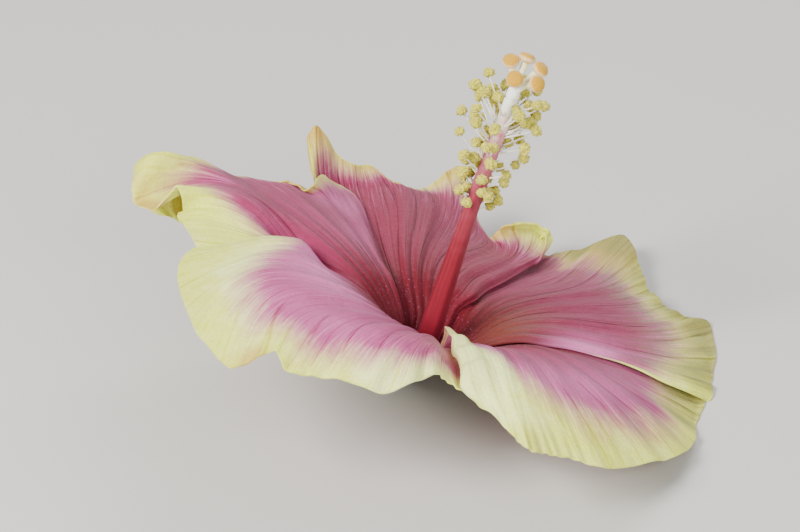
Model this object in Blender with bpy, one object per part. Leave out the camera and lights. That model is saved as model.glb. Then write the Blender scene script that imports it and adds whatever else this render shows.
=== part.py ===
"""A hibiscus bloom, cut with a short stem and laid on a flat surface.

The bloom is shaped upright, in millimetres: its axis is +Z and its throat's middle is the origin. A place
on a petal is an angle about the axis, a distance from it and a height along it. At the end every piece is
leaned over and set down, in metres.
"""
import bpy
import numpy as np
from mathutils import Matrix, Vector
from mathutils.kdtree import KDTree

MM = 0.001

# How the bloom lies: the view that its lean was measured in, and the throat's height over the surface
VIEW_ELEVATION = 30.0
AXIS_FROM_VIEW = 70.0
AXIS_ROLL = 20.0
THROAT_HEIGHT = 19.2

# Petals: rings of the funnel as (radius, height), then how far along a vein each ring lies
CLAW = (4.5, -12.5)
THROAT_LOW = (7.0, -6.5)
THROAT_HIGH = (12.5, 0.0)
FLARE = (20.0, 6.0)
RING_PLACES = [0.0, 0.13, 0.25, 0.37, 0.70, 1.0]
PETAL_THICKNESS = 0.7
PETAL_GAP = 1.25
LAYER_STEP = 0.9
FINE_ROWS, FINE_COLUMNS = 49, 73
FACET_STEP = 3
ROLL_STEPS = 3
VEIN_RIDGES, RIDGE_HEIGHT = 9, 0.3
FLAT_SPOT = 0.3

# What lies below the throat slants aside behind the bloom: its direction, its slope and the depth over which
# the slope sets in
SLANT_TOWARDS, SLANT, SLANT_START = 132.0, 0.6, 4.0

# The staminal column, as (height, outer radius), and the bore for the style
COLUMN = [(-12.6, 3.6), (-10.0, 3.6), (-7.0, 3.3), (-4.0, 3.0), (4.0, 2.85), (18.0, 2.4), (32.0, 1.95),
          (43.0, 1.85), (52.0, 1.8), (59.0, 1.75), (64.0, 1.7)]
BORE = [(-12.6, 2.5), (-9.5, 2.5), (-7.0, 1.1), (30.0, 0.8), (64.0, 0.6)]
COLUMN_BEND = -1.3
STAMENS = 54
STAMEN_LOW, STAMEN_HIGH = 34.0, 62.0
FILAMENT_RADIUS = 0.32
ANTHER = [(-0.9, 0.36, 0.36), (-0.45, 1.4, 1.05), (0.4, 1.35, 1.05), (0.9, 0.6, 0.5)]
SEED = 7
# How far the stamens turn aside from the column's front, which stays open
STAMENS_ASIDE = 0.55

# The pistil: ovary and style, as (height, radius), and the middles of its stigma pads
STYLE = [(-12.4, 1.2), (-11.6, 1.9), (-10.2, 2.0), (-9.0, 1.3), (-7.0, 0.55), (30.0, 0.4), (64.0, 0.28),
         (64.3, 0.3), (64.8, 1.5), (66.5, 1.6), (67.6, 1.0)]
STIGMA_PADS = [(-4.5, 1.5, 72.8), (-1.1, 3.0, 74.4), (-2.2, -3.0, 70.1), (2.9, 2.5, 73.1),
               (3.2, -2.5, 70.7)]
PAD = [(-1.0, 0.8), (-0.6, 1.8), (0.2, 2.1), (0.9, 1.6), (1.3, 0.8)]
BRANCH_ROOT = 65.3
BRANCH_RADIUS = 0.75

# Stem with the receptacle at its top, as (height, radius), then the way the stem lies from its cut end up, as
# (right, back, height) on the surface from the spot below the throat's middle
STEM_RADIUS = 1.7
RECEPTACLE = [(-17.2, 1.7), (-16.4, 1.8), (-15.6, 2.2), (-14.9, 2.8), (-14.2, 3.7), (-13.1, 3.9)]
STEM_WAY = [(-23.0, 10.0, 1.7), (-19.4, 9.2, 1.7), (-15.6, 7.7, 1.75), (-12.6, 6.1, 2.4)]

# Calyx and epicalyx, as (radius, height) along the middle of the wall
CALYX = [(3.5, -14.9), (4.9, -14.3), (6.0, -12.6), (7.8, -9.6), (10.1, -6.6), (14.0, -2.9), (17.4, 0.0)]
CALYX_LOBES, CALYX_NOTCH = 5, 0.58
EPICALYX = [(2.6, -16.0), (3.6, -16.1), (5.6, -15.1), (7.3, -13.0), (8.3, -10.6)]
EPICALYX_LOBES, EPICALYX_NOTCH = 7, 0.16
SEPAL_THICKNESS = 0.7
CUP_ROWS = 6

# Each petal: the angle of its claw, the angles of its sides where it leaves the flare, and its shape's rows.
# A row of shoulder or rim is (place across, angle, radius, height), and one of edge, the side that shows,
# is (place along, angle, radius, height). A row of rim_roll or edge_roll is (place, length, turn), where a
# margin curls under, or over if the turn is below 0.
PETALS = {
    "petal_back": dict(
        claw=106, flare=(74, 150),
        shoulder=[(-1, 68.5, 49.5, 8.5), (-0.6, 78, 50, 8.3), (-0.3, 90, 54, 9), (0, 100, 58, 11.5),
                  (0.3, 110, 58, 11), (0.55, 119, 58, 8), (0.75, 127, 57, 7), (1, 139, 46, 8)],
        rim=[(-1, 72.5, 71, 11), (-0.9, 71.2, 73.8, 10.5), (-0.78, 76, 72.5, 11),
             (-0.66, 80.3, 63.5, 10.5), (-0.54, 83, 62.5, 8), (-0.42, 87, 66, 9), (-0.32, 90, 75, 12),
             (-0.22, 93.5, 80, 17.5), (-0.13, 96.5, 78, 16.5), (-0.02, 100, 73, 12),
             (0.12, 104.3, 68.3, 12), (0.28, 109.8, 68.5, 12.8), (0.42, 114.5, 72, 14),
             (0.54, 118, 72, 13), (0.66, 123.5, 75, 16.5), (0.76, 127.5, 77, 20.5),
             (0.81, 128.2, 76.5, 18), (0.86, 127.8, 75.5, 15), (0.92, 127.5, 72.5, 12),
             (1, 128.5, 67, 9)],
        edge=[(0.37, 65, 20, 6.7), (0.45, 67.5, 27, 7.4), (0.53, 67.5, 34, 8), (0.61, 68, 42, 8.3),
              (0.7, 68.5, 49.5, 8.5), (0.78, 69, 56, 8.8), (0.86, 69.7, 62, 9.4), (0.93, 71, 67, 10.2),
              (1, 72.5, 71, 11)],
        rim_roll=[(-1, 2.5, -150), (-0.92, 4.2, -200), (-0.7, 4.2, -200), (-0.64, 1.5, -60),
                  (-0.56, 0.6, 0), (1, 0.6, 0)]),
    "petal_left": dict(
        claw=178, flare=(136, 212),
        shoulder=[(-1, 120, 53, 9.3), (-0.8, 129, 50, 9), (-0.6, 138, 52, 10.5), (-0.4, 147, 55, 11.5),
                  (-0.2, 154, 57, 11), (0, 160, 59, 12.2), (0.15, 166, 60, 12.8), (0.3, 171, 57, 11.2),
                  (0.5, 176, 56, 8.5), (0.75, 186, 47, 7.5), (1, 203, 38, 6.5)],
        rim=[(-1, 122, 66, 10), (-0.89, 126, 66, 10.5), (-0.8, 131, 62, 12.8), (-0.72, 136.5, 57, 12.3),
             (-0.64, 140, 56.5, 11.5), (-0.56, 142.5, 60, 12), (-0.47, 146, 62, 11), (-0.36, 150, 67, 10),
             (-0.26, 154.5, 71, 10), (-0.14, 159, 74.5, 12.3), (-0.03, 164, 77.5, 14.6),
             (0.04, 168.5, 80.5, 12), (0.07, 170, 82, 6), (0.1, 171, 82.4, 1.2), (0.135, 173, 78.8, 2),
             (0.17, 174, 76, 2.6), (0.21, 174.2, 74.5, 5.3), (0.26, 174, 73, 10.2),
             (0.31, 174.3, 71.5, 10.3), (0.35, 174, 70.3, 8.7), (0.4, 172.5, 69, 4),
             (0.46, 173.5, 69.5, 4), (0.52, 175, 69.5, 4), (0.64, 180, 66, 4.5), (0.78, 188, 62, 4),
             (1, 201, 55, 3)],
        edge=[(0.42, 133, 26, 7.5), (0.5, 127, 35, 8.5), (0.6, 122.5, 45, 9), (0.72, 120, 54, 9.3),
              (0.86, 120, 61, 9.8), (1, 122, 66, 10)],
        rim_roll=[(-1, 0.4, 0), (-0.46, 0.4, 0), (-0.34, 10, 80), (-0.26, 23, 165), (-0.06, 25, 165),
                  (0, 19, 150), (0.03, 12, 120), (0.06, 5.5, 75), (0.085, 1.5, 30), (0.11, 0.4, 0),
                  (1, 0.4, 0)]),
    "petal_front_left": dict(
        claw=250, flare=(196, 303),
        shoulder=[(-1, 178, 46, 10), (-0.75, 190, 44, 9.5), (-0.5, 207, 48, 9.8), (-0.25, 222, 50, 10),
                  (0, 240, 48, 10.8), (0.25, 254, 45, 12), (0.5, 266, 41, 12), (0.72, 275, 34, 11),
                  (1, 290, 31, 9)],
        rim=[(-1, 196, 64, 7), (-0.88, 201, 67.5, 4.5), (-0.76, 206, 68.5, 2), (-0.63, 213, 70, 1.5),
             (-0.5, 221, 72, 0.5), (-0.37, 228, 72.7, -1), (-0.25, 235, 74, -1.5), (-0.17, 237.5, 72, 0),
             (-0.09, 240, 67.5, 5), (0, 244, 68.5, 3.5), (0.08, 247.5, 66, 3), (0.2, 252, 62.5, 4),
             (0.32, 257, 61, 5), (0.44, 263, 60.5, 5), (0.56, 268.5, 55, 7.5), (0.68, 274, 47, 8.5),
             (0.8, 279, 43.5, 8), (1, 289, 45, 6)],
        edge=[(0.42, 187, 26, 7.7), (0.5, 183, 32, 8.3), (0.58, 173, 38, 9.8), (0.66, 176, 42, 10.8),
              (0.74, 180, 47, 10), (0.82, 186, 52, 9), (0.9, 192, 58, 8), (1, 196, 64, 7)]),
    "petal_front_right": dict(
        claw=322, flare=(286, 385),
        shoulder=[(-1, 283, 43, 10), (-0.7, 296, 40, 11.5), (-0.4, 310, 41, 11.5), (-0.1, 326, 44, 10.3),
                  (0.2, 344, 47, 8.8), (0.5, 362, 48, 6.8), (0.75, 376, 47, 6), (1, 392, 42, 6)],
        rim=[(-1, 289.5, 48.5, 4.5), (-0.9, 293, 53, 4), (-0.78, 295, 60, 3.5), (-0.66, 297, 65, 3.5),
             (-0.54, 301, 66, 3.5), (-0.38, 308, 66.5, 3), (-0.22, 314, 69, 2.5), (-0.04, 327, 69, 2),
             (0.12, 338, 70, 1.5), (0.28, 349, 71, 1.5), (0.38, 357, 70.3, 1.5), (0.5, 366, 72, 2.5),
             (0.62, 372, 73, 3.2), (0.8, 385, 70, 6), (1, 396, 64, 5.5)],
        edge=[(0.2, 297, 8.4, 2.2), (0.25, 289, 9.6, 6.4), (0.31, 288, 14.8, 7.6), (0.37, 287, 21, 9.4),
              (0.45, 285, 28, 10.4), (0.53, 286, 34, 10.5), (0.6, 285, 39, 10.7), (0.68, 285, 43.5, 10),
              (0.77, 286, 46, 8.5), (0.86, 288, 47.5, 6.5), (1, 290.5, 48.5, 4.5)],
        edge_roll=[(0, 0.4, 0), (0.3, 0.4, 0), (0.38, 1.5, 60), (0.47, 3.2, 120), (0.6, 3.6, 130),
                   (0.8, 3, 110), (1, 2, 60)]),
    "petal_right": dict(
        claw=34, flare=(-1, 87),
        shoulder=[(-1, 10, 48, 8), (-0.75, 20, 53, 7), (-0.5, 30, 57, 9), (-0.2, 42, 58, 10.5),
                  (0.1, 52, 57, 10), (0.4, 63, 55, 6.8), (0.7, 73, 52, 5.5), (1, 84, 46, 5)],
        rim=[(-1, 8, 74, 5), (-0.9, 12, 74, 6.5), (-0.8, 17, 75.5, 7), (-0.7, 22.5, 78.5, 8.5),
             (-0.6, 29, 81.5, 10), (-0.51, 34, 83, 12), (-0.43, 35, 78, 12), (-0.34, 37, 74, 12),
             (-0.22, 42, 74, 12), (-0.1, 48, 77, 11.5), (0.04, 54, 82, 13.5), (0.16, 59, 86.5, 16),
             (0.28, 62.5, 87, 16), (0.4, 65, 80, 12), (0.55, 68.5, 73.5, 9), (0.75, 74, 67, 6),
             (1, 82, 60, 4)],
        edge=[(0.37, -1, 21, 6.9), (0.45, 4, 27, 7.6), (0.53, 8.5, 34, 8), (0.62, 10, 43, 8),
              (0.7, 10, 48, 8), (0.78, 8, 54, 8), (0.86, 6, 60, 7.6), (0.93, 6, 66, 7), (1, 8, 74, 5)]),
}
# Each petal's showing side lies over the far side of the next
COVERS = [("petal_front_left", "petal_left"), ("petal_left", "petal_back"), ("petal_back", "petal_right"),
          ("petal_right", "petal_front_right"), ("petal_front_right", "petal_front_left")]

COLOURS = {
    "petal": ((0.72, 0.22, 0.38), 0.55),
    "column": ((0.62, 0.10, 0.16), 0.5),
    "pistil": ((0.85, 0.62, 0.22), 0.6),
    "sepal": ((0.22, 0.38, 0.10), 0.6),
    "stem": ((0.20, 0.33, 0.10), 0.6),
}


def clear_scene():
    for item in list(bpy.data.objects):
        bpy.data.objects.remove(item, do_unlink=True)


def material(kind):
    """The plain colour of one kind of piece."""
    made = bpy.data.materials.get(kind)
    if made is None:
        made = bpy.data.materials.new(kind)
        made.use_nodes = True
        colour, roughness = COLOURS[kind]
        shader = made.node_tree.nodes["Principled BSDF"]
        shader.inputs["Base Color"].default_value = (*colour, 1.0)
        shader.inputs["Roughness"].default_value = roughness
    return made


def lean():
    """The three directions of the leaned bloom, as rows: its X, its Y and its axis."""
    elevation, away, roll = np.radians([VIEW_ELEVATION, AXIS_FROM_VIEW, AXIS_ROLL])
    right = np.array([1.0, 0.0, 0.0])
    up = np.array([0.0, np.sin(elevation), np.cos(elevation)])
    back = np.array([0.0, -np.cos(elevation), np.sin(elevation)])
    axis = np.sin(away) * (np.sin(roll) * right + np.cos(roll) * up) + np.cos(away) * back
    across = np.cos(roll) * right - np.sin(roll) * up
    return np.stack([across, np.cross(axis, across), axis])


LEAN = lean()


def height_over_surface(points):
    return THROAT_HEIGHT + points @ LEAN[:, 2]


def polar(angle, radius, height):
    angle = np.radians(angle)
    return np.stack([radius * np.cos(angle), radius * np.sin(angle), height + 0 * angle], -1)


def slant(points):
    """Draws what lies below the throat aside, the further the deeper it lies."""
    depth = np.maximum(-points[..., 2], 0.0)
    start = np.minimum(depth, SLANT_START)
    aside = SLANT * (depth - start + start ** 2 / (2 * SLANT_START))
    return points + aside[..., None] * polar(SLANT_TOWARDS, 1.0, 0.0)


def on_surface(points, reach):
    """Lays what comes within reach of the surface, or below it, flat against it."""
    height = height_over_surface(points)
    return points + np.where(height < reach, -height, 0)[..., None] * LEAN[:, 2]


def ease(x):
    """From 0 to 1 with level ends."""
    x = np.clip(x, 0.0, 1.0)
    return x * x * (3 - 2 * x)


def spline(knots, values, places):
    """The natural cubic through the values (n, d) at the knots, read at the places."""
    knots, values, places = np.array(knots, float), np.array(values, float), np.array(places, float)
    count = len(knots)
    step = np.diff(knots)
    slope = np.diff(values, axis=0) / step[:, None]
    matrix = np.eye(count)
    target = np.zeros_like(values)
    for i in range(1, count - 1):
        matrix[i, i - 1:i + 2] = step[i - 1], 2 * (step[i - 1] + step[i]), step[i]
        target[i] = 3 * (slope[i] - slope[i - 1])
    bend = np.linalg.solve(matrix, target)
    i = np.clip(np.searchsorted(knots, places) - 1, 0, count - 2)
    x = (places - knots[i])[:, None]
    width = step[i][:, None]
    first = slope[i] - width * (2 * bend[i] + bend[i + 1]) / 3
    return values[i] + x * (first + x * (bend[i] + x * (bend[i + 1] - bend[i]) / (3 * width)))


def through(rows, places):
    """A curve through rows of (place, angle, radius, height)."""
    place, angle, radius, height = np.array(rows, float).T
    return spline(place, polar(angle, radius, height), places)


def petal_surface(shape):
    """The middle of one petal's blade as a grid: along the veins, then across them."""
    t = np.linspace(-1, 1, FINE_COLUMNS)
    s = np.linspace(0, 1, FINE_ROWS)
    start, end = shape["flare"]
    flare_angle = start + (end - start) * (t + 1) / 2
    throat_angle = 0.6 * (shape["claw"] + 42 * t) + 0.4 * flare_angle
    layer = LAYER_STEP * t
    rings = np.stack([
        polar(shape["claw"] + 26 * t, CLAW[0], CLAW[1]),
        polar(shape["claw"] + 40 * t, THROAT_LOW[0] + layer, THROAT_LOW[1]),
        polar(throat_angle, THROAT_HIGH[0] + 1.1 * layer, THROAT_HIGH[1] - 0.5 * layer),
        polar(flare_angle, FLARE[0] + 0.3 * layer, FLARE[1] - layer),
        through(shape["shoulder"], t),
        through(shape["rim"], t),
    ])
    grid = np.stack([spline(RING_PLACES, rings[:, j], s) for j in range(FINE_COLUMNS)], 1)
    # The showing side follows its own curve and draws the blade beside it along
    edge = np.array(shape["edge"], float)
    first = edge[0, 0]
    root = spline(RING_PLACES, rings[:, 0], [0.0, first - 0.09])
    places = np.concatenate([[0.0, first - 0.09], edge[:, 0]])
    wanted = spline(places, np.concatenate([root, polar(*edge[:, 1:].T)]), s)
    shift = (wanted - grid[:, 0]) * ease((s - first + 0.12) / 0.12)[:, None]
    grid = grid + shift[:, None] * (1 - ease((t + 1) / 0.55))[None, :, None]
    # Shallow ridges fan out along the veins
    ridge = RIDGE_HEIGHT * np.cos(np.pi * VEIN_RIDGES * t)[None] * np.sin(np.pi * ease(s))[:, None]
    return grid + ridge[..., None] * upper_normals(grid)


def upper_normals(grid):
    normal = np.cross(np.gradient(grid, axis=0), np.gradient(grid, axis=1))
    return normal / np.linalg.norm(normal, axis=-1, keepdims=True)


def spread(values, reach, take):
    """Each value replaced by the take (np.max or np.mean) of those within reach, along both directions."""
    for axis in (0, 1):
        pad = [(reach, reach) if i == axis else (0, 0) for i in (0, 1)]
        padded = np.pad(values, pad, mode="edge")
        window = [np.take(padded, range(i, i + values.shape[axis]), axis) for i in range(2 * reach + 1)]
        values = take(window, axis=0)
    return values


def roll_depth(shape, s):
    """How far below the blade the showing side's rolled margin reaches."""
    rows = np.array(shape.get("edge_roll", [(0, 0.4, 0), (1, 0.4, 0)]), float)
    length = np.interp(s, rows[:, 0], rows[:, 1])
    turn = np.radians(np.maximum(np.interp(s, rows[:, 0], rows[:, 2]), 1e-3))
    return length / turn * (1 - np.cos(turn))


def settle(cover, cover_shape, under):
    """Lowers the far side of one petal until it lies clear beneath the petal that covers it."""
    rows, columns = under.shape[:2]
    s = np.linspace(0, 1, rows)
    t = np.linspace(-1, 1, columns)
    normal = upper_normals(cover)
    margin = roll_depth(cover_shape, s)[:, None] * (1 - ease((t + 1) / 0.2))[None]
    tree = KDTree(rows * columns)
    for i in range(rows):
        for j in range(columns):
            if normal[i, j, 2] > 0.25:
                tree.insert((cover[i, j, 0], cover[i, j, 1], 0.0), i * columns + j)
    tree.balance()
    need = np.zeros((rows, columns))
    for i in range(int(0.3 * rows), rows):
        for j in range(int(0.35 * columns), columns):
            _, index, beside = tree.find((under[i, j, 0], under[i, j, 1], 0.0))
            a, b = divmod(index, columns)
            offset = under[i, j] - cover[a, b]
            up = normal[a, b]
            level = -(up[0] * offset[0] + up[1] * offset[1]) / up[2]
            clear = PETAL_GAP / up[2] + margin[a, b]
            need[i, j] = (offset[2] - level + clear) * (1 - ease((beside - 1.2) / 2.5))
    drop = spread(np.maximum(need, 0), 2, np.max)
    for _ in range(2):
        drop = spread(drop, 2, np.mean)
    under = under.copy()
    under[..., 2] -= drop
    return under


def roll_out(grid, rows):
    """Adds rows past the grid's last one, which curl under, or over where the turn is below 0."""
    place, length, turn = np.array(rows, float).T
    places = np.linspace(place[0], place[-1], grid.shape[1])
    length = np.interp(places, place, length)
    turn = np.radians(np.interp(places, place, turn))
    turn = np.where(np.abs(turn) < 1e-3, 1e-3, turn)
    outward = grid[-1] - grid[-3]
    outward /= np.linalg.norm(outward, axis=1, keepdims=True)
    under = -upper_normals(grid)[-1]
    radius = length / turn
    extra = []
    for step in range(1, ROLL_STEPS + 1):
        bent = turn * step / ROLL_STEPS
        along = (radius * np.sin(bent))[:, None] * outward
        extra.append(grid[-1] + along + (radius * (1 - np.cos(bent)))[:, None] * under)
    return np.concatenate([grid, np.stack(extra)])


def roll_margins(grid, shape):
    """The rim is the grid's last row, and the showing side is its first column."""
    if "rim_roll" in shape:
        grid = roll_out(grid, shape["rim_roll"])
    if "edge_roll" in shape:
        grid = roll_out(grid.transpose(1, 0, 2)[::-1], shape["edge_roll"])[::-1].transpose(1, 0, 2)
    return grid


def petal_grids():
    """Every petal's blade, its far side settled beneath its cover and its margins rolled."""
    grids = {name: petal_surface(shape) for name, shape in PETALS.items()}
    for _ in range(3):
        for cover, under in COVERS:
            grids[under] = settle(grids[cover], PETALS[cover], grids[under])
    grids = {name: slant(roll_margins(grids[name], PETALS[name])) for name in PETALS}
    # Where a margin would reach below the surface, it lies along it
    for grid in grids.values():
        half = PETAL_THICKNESS / 2 * np.abs(upper_normals(grid) @ LEAN[:, 2])
        grid += np.maximum(half - height_over_surface(grid), 0)[..., None] * LEAN[:, 2]
    return grids


def facet_lines(count, rolled_first, rolled_last):
    """Every third line of a fine grid, and every line of its rolled margins."""
    fine = [rolled_first + k for k in range(0, count - rolled_first - rolled_last, FACET_STEP)]
    return list(range(rolled_first)) + fine + list(range(count - rolled_last, count))


def cells(rows, columns, closed):
    """Two triangles for each cell of a grid of points, facing its upper side."""
    faces = []
    for i in range(rows - 1):
        for j in range(columns if closed else columns - 1):
            a, b = i * columns + j, i * columns + (j + 1) % columns
            c, d = b + columns, a + columns
            faces += [(c, b, a), (d, c, a)]
    return faces


def rim_loops(rows, columns, closed):
    """The lines of points round a grid's edge, each with the grid on its left."""
    first, last = 0, (rows - 1) * columns
    near = list(range(first, first + columns))
    far = list(range(last, last + columns))[::-1]
    if closed:
        return [near + near[:1], far + far[:1]]
    right = [columns - 1 + i * columns for i in range(1, rows - 1)]
    left = [i * columns for i in range(1, rows - 1)][::-1]
    return [near + right + far + left + near[:1]]


def blade_mesh(grid, normal, thickness, closed=False):
    """A sheet of even thickness about a grid, its two faces split alike. Closed joins its sides."""
    rows, columns = grid.shape[:2]
    half = normal * thickness / 2
    points = np.concatenate([(grid + half).reshape(-1, 3), (grid - half).reshape(-1, 3)])
    count = rows * columns
    faces = cells(rows, columns, closed)
    faces += [(a + count, c + count, b + count) for a, b, c in faces]
    for loop in rim_loops(rows, columns, closed):
        for a, b in zip(loop, loop[1:]):
            faces += [(a, b, b + count), (a, b + count, a + count)]
    return on_surface(points, FLAT_SPOT), faces


def loft_mesh(rings, joined=False):
    """A closed skin over rings of points, with flat ends, or with its last ring joined to its first."""
    count, sides = len(rings), len(rings[0])
    faces = []
    for i in range(count if joined else count - 1):
        for j in range(sides):
            a, b = i * sides + j, i * sides + (j + 1) % sides
            c, d = (b + sides) % (count * sides), (a + sides) % (count * sides)
            faces.append((a, b, c, d))
    if not joined:
        faces.append(tuple(range(sides))[::-1])
        faces.append(tuple(range((count - 1) * sides, count * sides)))
    return np.concatenate(rings), faces


def column_middle(height):
    """The column's slight bend: the middle of its tube at a height."""
    return np.array([COLUMN_BEND * ease((height + 20.0) / 65.0), 0.0, height])


def turned_rings(profile, sides, middle, start=0.0):
    angle = np.linspace(0, 2 * np.pi, sides, endpoint=False) + np.radians(start)
    circle = np.stack([np.cos(angle), np.sin(angle), 0 * angle], 1)
    return [slant(middle(height) + radius * circle) for height, radius in profile]


def rings_along(path, widths, depths, sides):
    """Rings across a path, each with its own width (level) and depth."""
    tangent = np.gradient(path, axis=0)
    tangent /= np.linalg.norm(tangent, axis=1, keepdims=True)
    angle = np.linspace(0, 2 * np.pi, sides, endpoint=False)
    rings = []
    for point, along, width, depth in zip(path, tangent, widths, depths):
        level = np.cross(along, [0.0, 0.0, 1.0])
        level /= np.linalg.norm(level)
        other = np.cross(along, level)
        rings.append(point + width * np.outer(np.cos(angle), level) + depth * np.outer(np.sin(angle), other))
    return rings


def add_object(name, mesh_data, kind):
    points, faces = mesh_data
    mesh = bpy.data.meshes.new(name)
    mesh.from_pydata(points.tolist(), [], faces)
    mesh.materials.append(material(kind))
    item = bpy.data.objects.new(name, mesh)
    bpy.context.scene.collection.objects.link(item)
    return item


def fuse(name, body, additions, kind):
    """One solid from a body and everything that is rooted in it."""
    item = add_object(name, body, kind)
    group = bpy.data.collections.new(name + "_additions")
    for k, addition in enumerate(additions):
        extra = add_object(f"{name}_{k}", addition, kind)
        bpy.context.scene.collection.objects.unlink(extra)
        group.objects.link(extra)
    bpy.context.scene.collection.children.link(group)
    union = item.modifiers.new("union", "BOOLEAN")
    union.operation = "UNION"
    union.operand_type = "COLLECTION"
    union.collection = group
    union.solver = "MANIFOLD"
    bpy.context.view_layer.objects.active = item
    bpy.ops.object.modifier_apply(modifier="union")
    for extra in list(group.objects):
        bpy.data.objects.remove(extra, do_unlink=True)
    bpy.data.collections.remove(group)
    return item


def add_petals():
    for name, grid in petal_grids().items():
        shape = PETALS[name]
        normal = upper_normals(grid)
        rows = facet_lines(grid.shape[0], 0, ROLL_STEPS if "rim_roll" in shape else 0)
        columns = facet_lines(grid.shape[1], ROLL_STEPS if "edge_roll" in shape else 0, 0)
        pick = np.ix_(rows, columns)
        add_object(name, blade_mesh(grid[pick], normal[pick], PETAL_THICKNESS), "petal")


def stamen(k, rng):
    """One filament with its anther, rising outwards from the column's wall."""
    place = (k + 0.5) / STAMENS
    height = STAMEN_LOW + (STAMEN_HIGH - STAMEN_LOW) * place
    angle = k * np.radians(137.5) + rng.uniform(-0.3, 0.3)
    reach = 4.3 + 6.0 * ease(place * 1.3) - 2.0 * ease(place * 2 - 1) + rng.uniform(-0.9, 0.9)
    rise = reach * (0.25 + 0.45 * place) + rng.uniform(-0.8, 0.8)
    wall = np.interp(height, *np.array(COLUMN).T) - 0.3
    angle += STAMENS_ASIDE * np.sin(angle + np.pi / 2)
    outward = np.array([np.cos(angle), np.sin(angle), 0.0])
    root = column_middle(height) + wall * outward
    tip = column_middle(height) + reach * outward + np.array([0.0, 0.0, rise])
    along = (tip - root) / np.linalg.norm(tip - root)
    path = [root] + [tip + step * along for step, _, _ in ANTHER]
    widths = [FILAMENT_RADIUS] + [width for _, width, _ in ANTHER]
    depths = [FILAMENT_RADIUS] + [depth for _, _, depth in ANTHER]
    return loft_mesh(rings_along(np.array(path), widths, depths, 5))


def add_column():
    rng = np.random.default_rng(SEED)
    wall = turned_rings(COLUMN, 12, column_middle) + turned_rings(BORE[::-1], 12, column_middle)
    stamens = [stamen(k, rng) for k in range(STAMENS)]
    fuse("staminal_column", loft_mesh(wall, joined=True), stamens, "column")


def style_branch(pad):
    """A style branch that curves out of the style's top and ends in its round pad."""
    root, pad = column_middle(BRANCH_ROOT), np.array(pad)
    control = root + np.array([0.0, 0.0, 3.0]) + 0.25 * (pad - root) * [1, 1, 0]
    u = np.linspace(0, 0.85, 4)[:, None]
    stalk = (1 - u) ** 2 * root + 2 * u * (1 - u) * control + u ** 2 * pad
    along = (pad - control) / np.linalg.norm(pad - control)
    path = np.concatenate([stalk, [pad + step * along for step, _ in PAD]])
    radii = [BRANCH_RADIUS] * len(stalk) + [radius for _, radius in PAD]
    return loft_mesh(rings_along(path, radii, radii, 8))


def add_pistil():
    style = loft_mesh(turned_rings(STYLE, 8, column_middle))
    fuse("pistil", style, [style_branch(pad) for pad in STIGMA_PADS], "pistil")


def upright(height):
    return np.array([0.0, 0.0, height])


def add_stem():
    """The short stem, bent over until it lies along the surface."""
    lying = (np.array(STEM_WAY) - [0.0, 0.0, THROAT_HEIGHT]) @ LEAN.T
    path = np.append(lying, [slant(upright(RECEPTACLE[0][0]))], axis=0)
    radii = [STEM_RADIUS] * len(path)
    bend = rings_along(path, radii, radii, 14)[:-1]
    top = turned_rings(RECEPTACLE, 14, upright, SLANT_TOWARDS + 90)
    points, faces = loft_mesh(bend + top)
    add_object("stem", (on_surface(points, FLAT_SPOT), faces), "stem")


def lobed_cup(profile, lobes, notch, across, sharpness):
    """A cup's wall as a closed grid, its profile cut back to the notch between pointed lobes."""
    profile = np.array(profile)
    place = np.linspace(0, 1, len(profile))
    phase = np.tile(across, lobes)
    middle = np.repeat(np.arange(lobes), len(across)) * 360.0 / lobes + 70.0
    angle = middle + phase * 180.0 / lobes
    length = notch + (1 - notch) * np.maximum(1 - np.abs(phase) ** sharpness, 0)
    rows = np.linspace(0, 1, CUP_ROWS)[:, None] * length[None]
    spot = spline(place, profile, rows.reshape(-1)).reshape(*rows.shape, 2)
    return slant(polar(np.tile(angle, (CUP_ROWS, 1)), spot[..., 0], spot[..., 1]))


def closed_normals(grid):
    wrapped = np.concatenate([grid[:, -1:], grid, grid[:, :1]], axis=1)
    return upper_normals(wrapped)[:, 1:-1]


def add_calyx():
    cup = lobed_cup(CALYX, CALYX_LOBES, CALYX_NOTCH, [-1, -.75, -.5, -.25, 0, .25, .5, .75], 1.3)
    add_object("calyx", blade_mesh(cup, closed_normals(cup), SEPAL_THICKNESS, closed=True), "sepal")
    bracts = lobed_cup(EPICALYX, EPICALYX_LOBES, EPICALYX_NOTCH, [-1, -.5, -.25, 0, .25, .5], 0.9)
    add_object("epicalyx", blade_mesh(bracts, closed_normals(bracts), SEPAL_THICKNESS, closed=True), "sepal")


def lay_down():
    """Leans every piece over, sets the bloom on the surface and centres it there."""
    turn = Matrix(LEAN.T.tolist()).to_4x4()
    place = Matrix.Scale(MM, 4) @ Matrix.Translation((0.0, 0.0, THROAT_HEIGHT)) @ turn
    meshes = [item.data for item in bpy.context.scene.objects]
    for mesh in meshes:
        mesh.transform(place)
    points = np.array([vertex.co for mesh in meshes for vertex in mesh.vertices])
    middle = (points.min(0) + points.max(0)) / 2
    for mesh in meshes:
        mesh.transform(Matrix.Translation(Vector((-middle[0], -middle[1], 0.0))))
        mesh.update()


def main():
    clear_scene()
    add_petals()
    add_column()
    add_pistil()
    add_calyx()
    add_stem()
    lay_down()


main()
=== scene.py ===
"""The looks of a hibiscus bloom that lies on a plain surface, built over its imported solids.

Like the solids, the bloom is shaped upright, in millimetres: its axis is +Z and its throat's middle is the
origin. A place on a petal is an angle about the axis, a distance from it and a height along it. Each piece's
mesh is leaned over and set down where its solid lies, in metres.
"""
from functools import partial

import bpy
import numpy as np
from mathutils import Matrix, Vector
from mathutils.kdtree import KDTree

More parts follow.
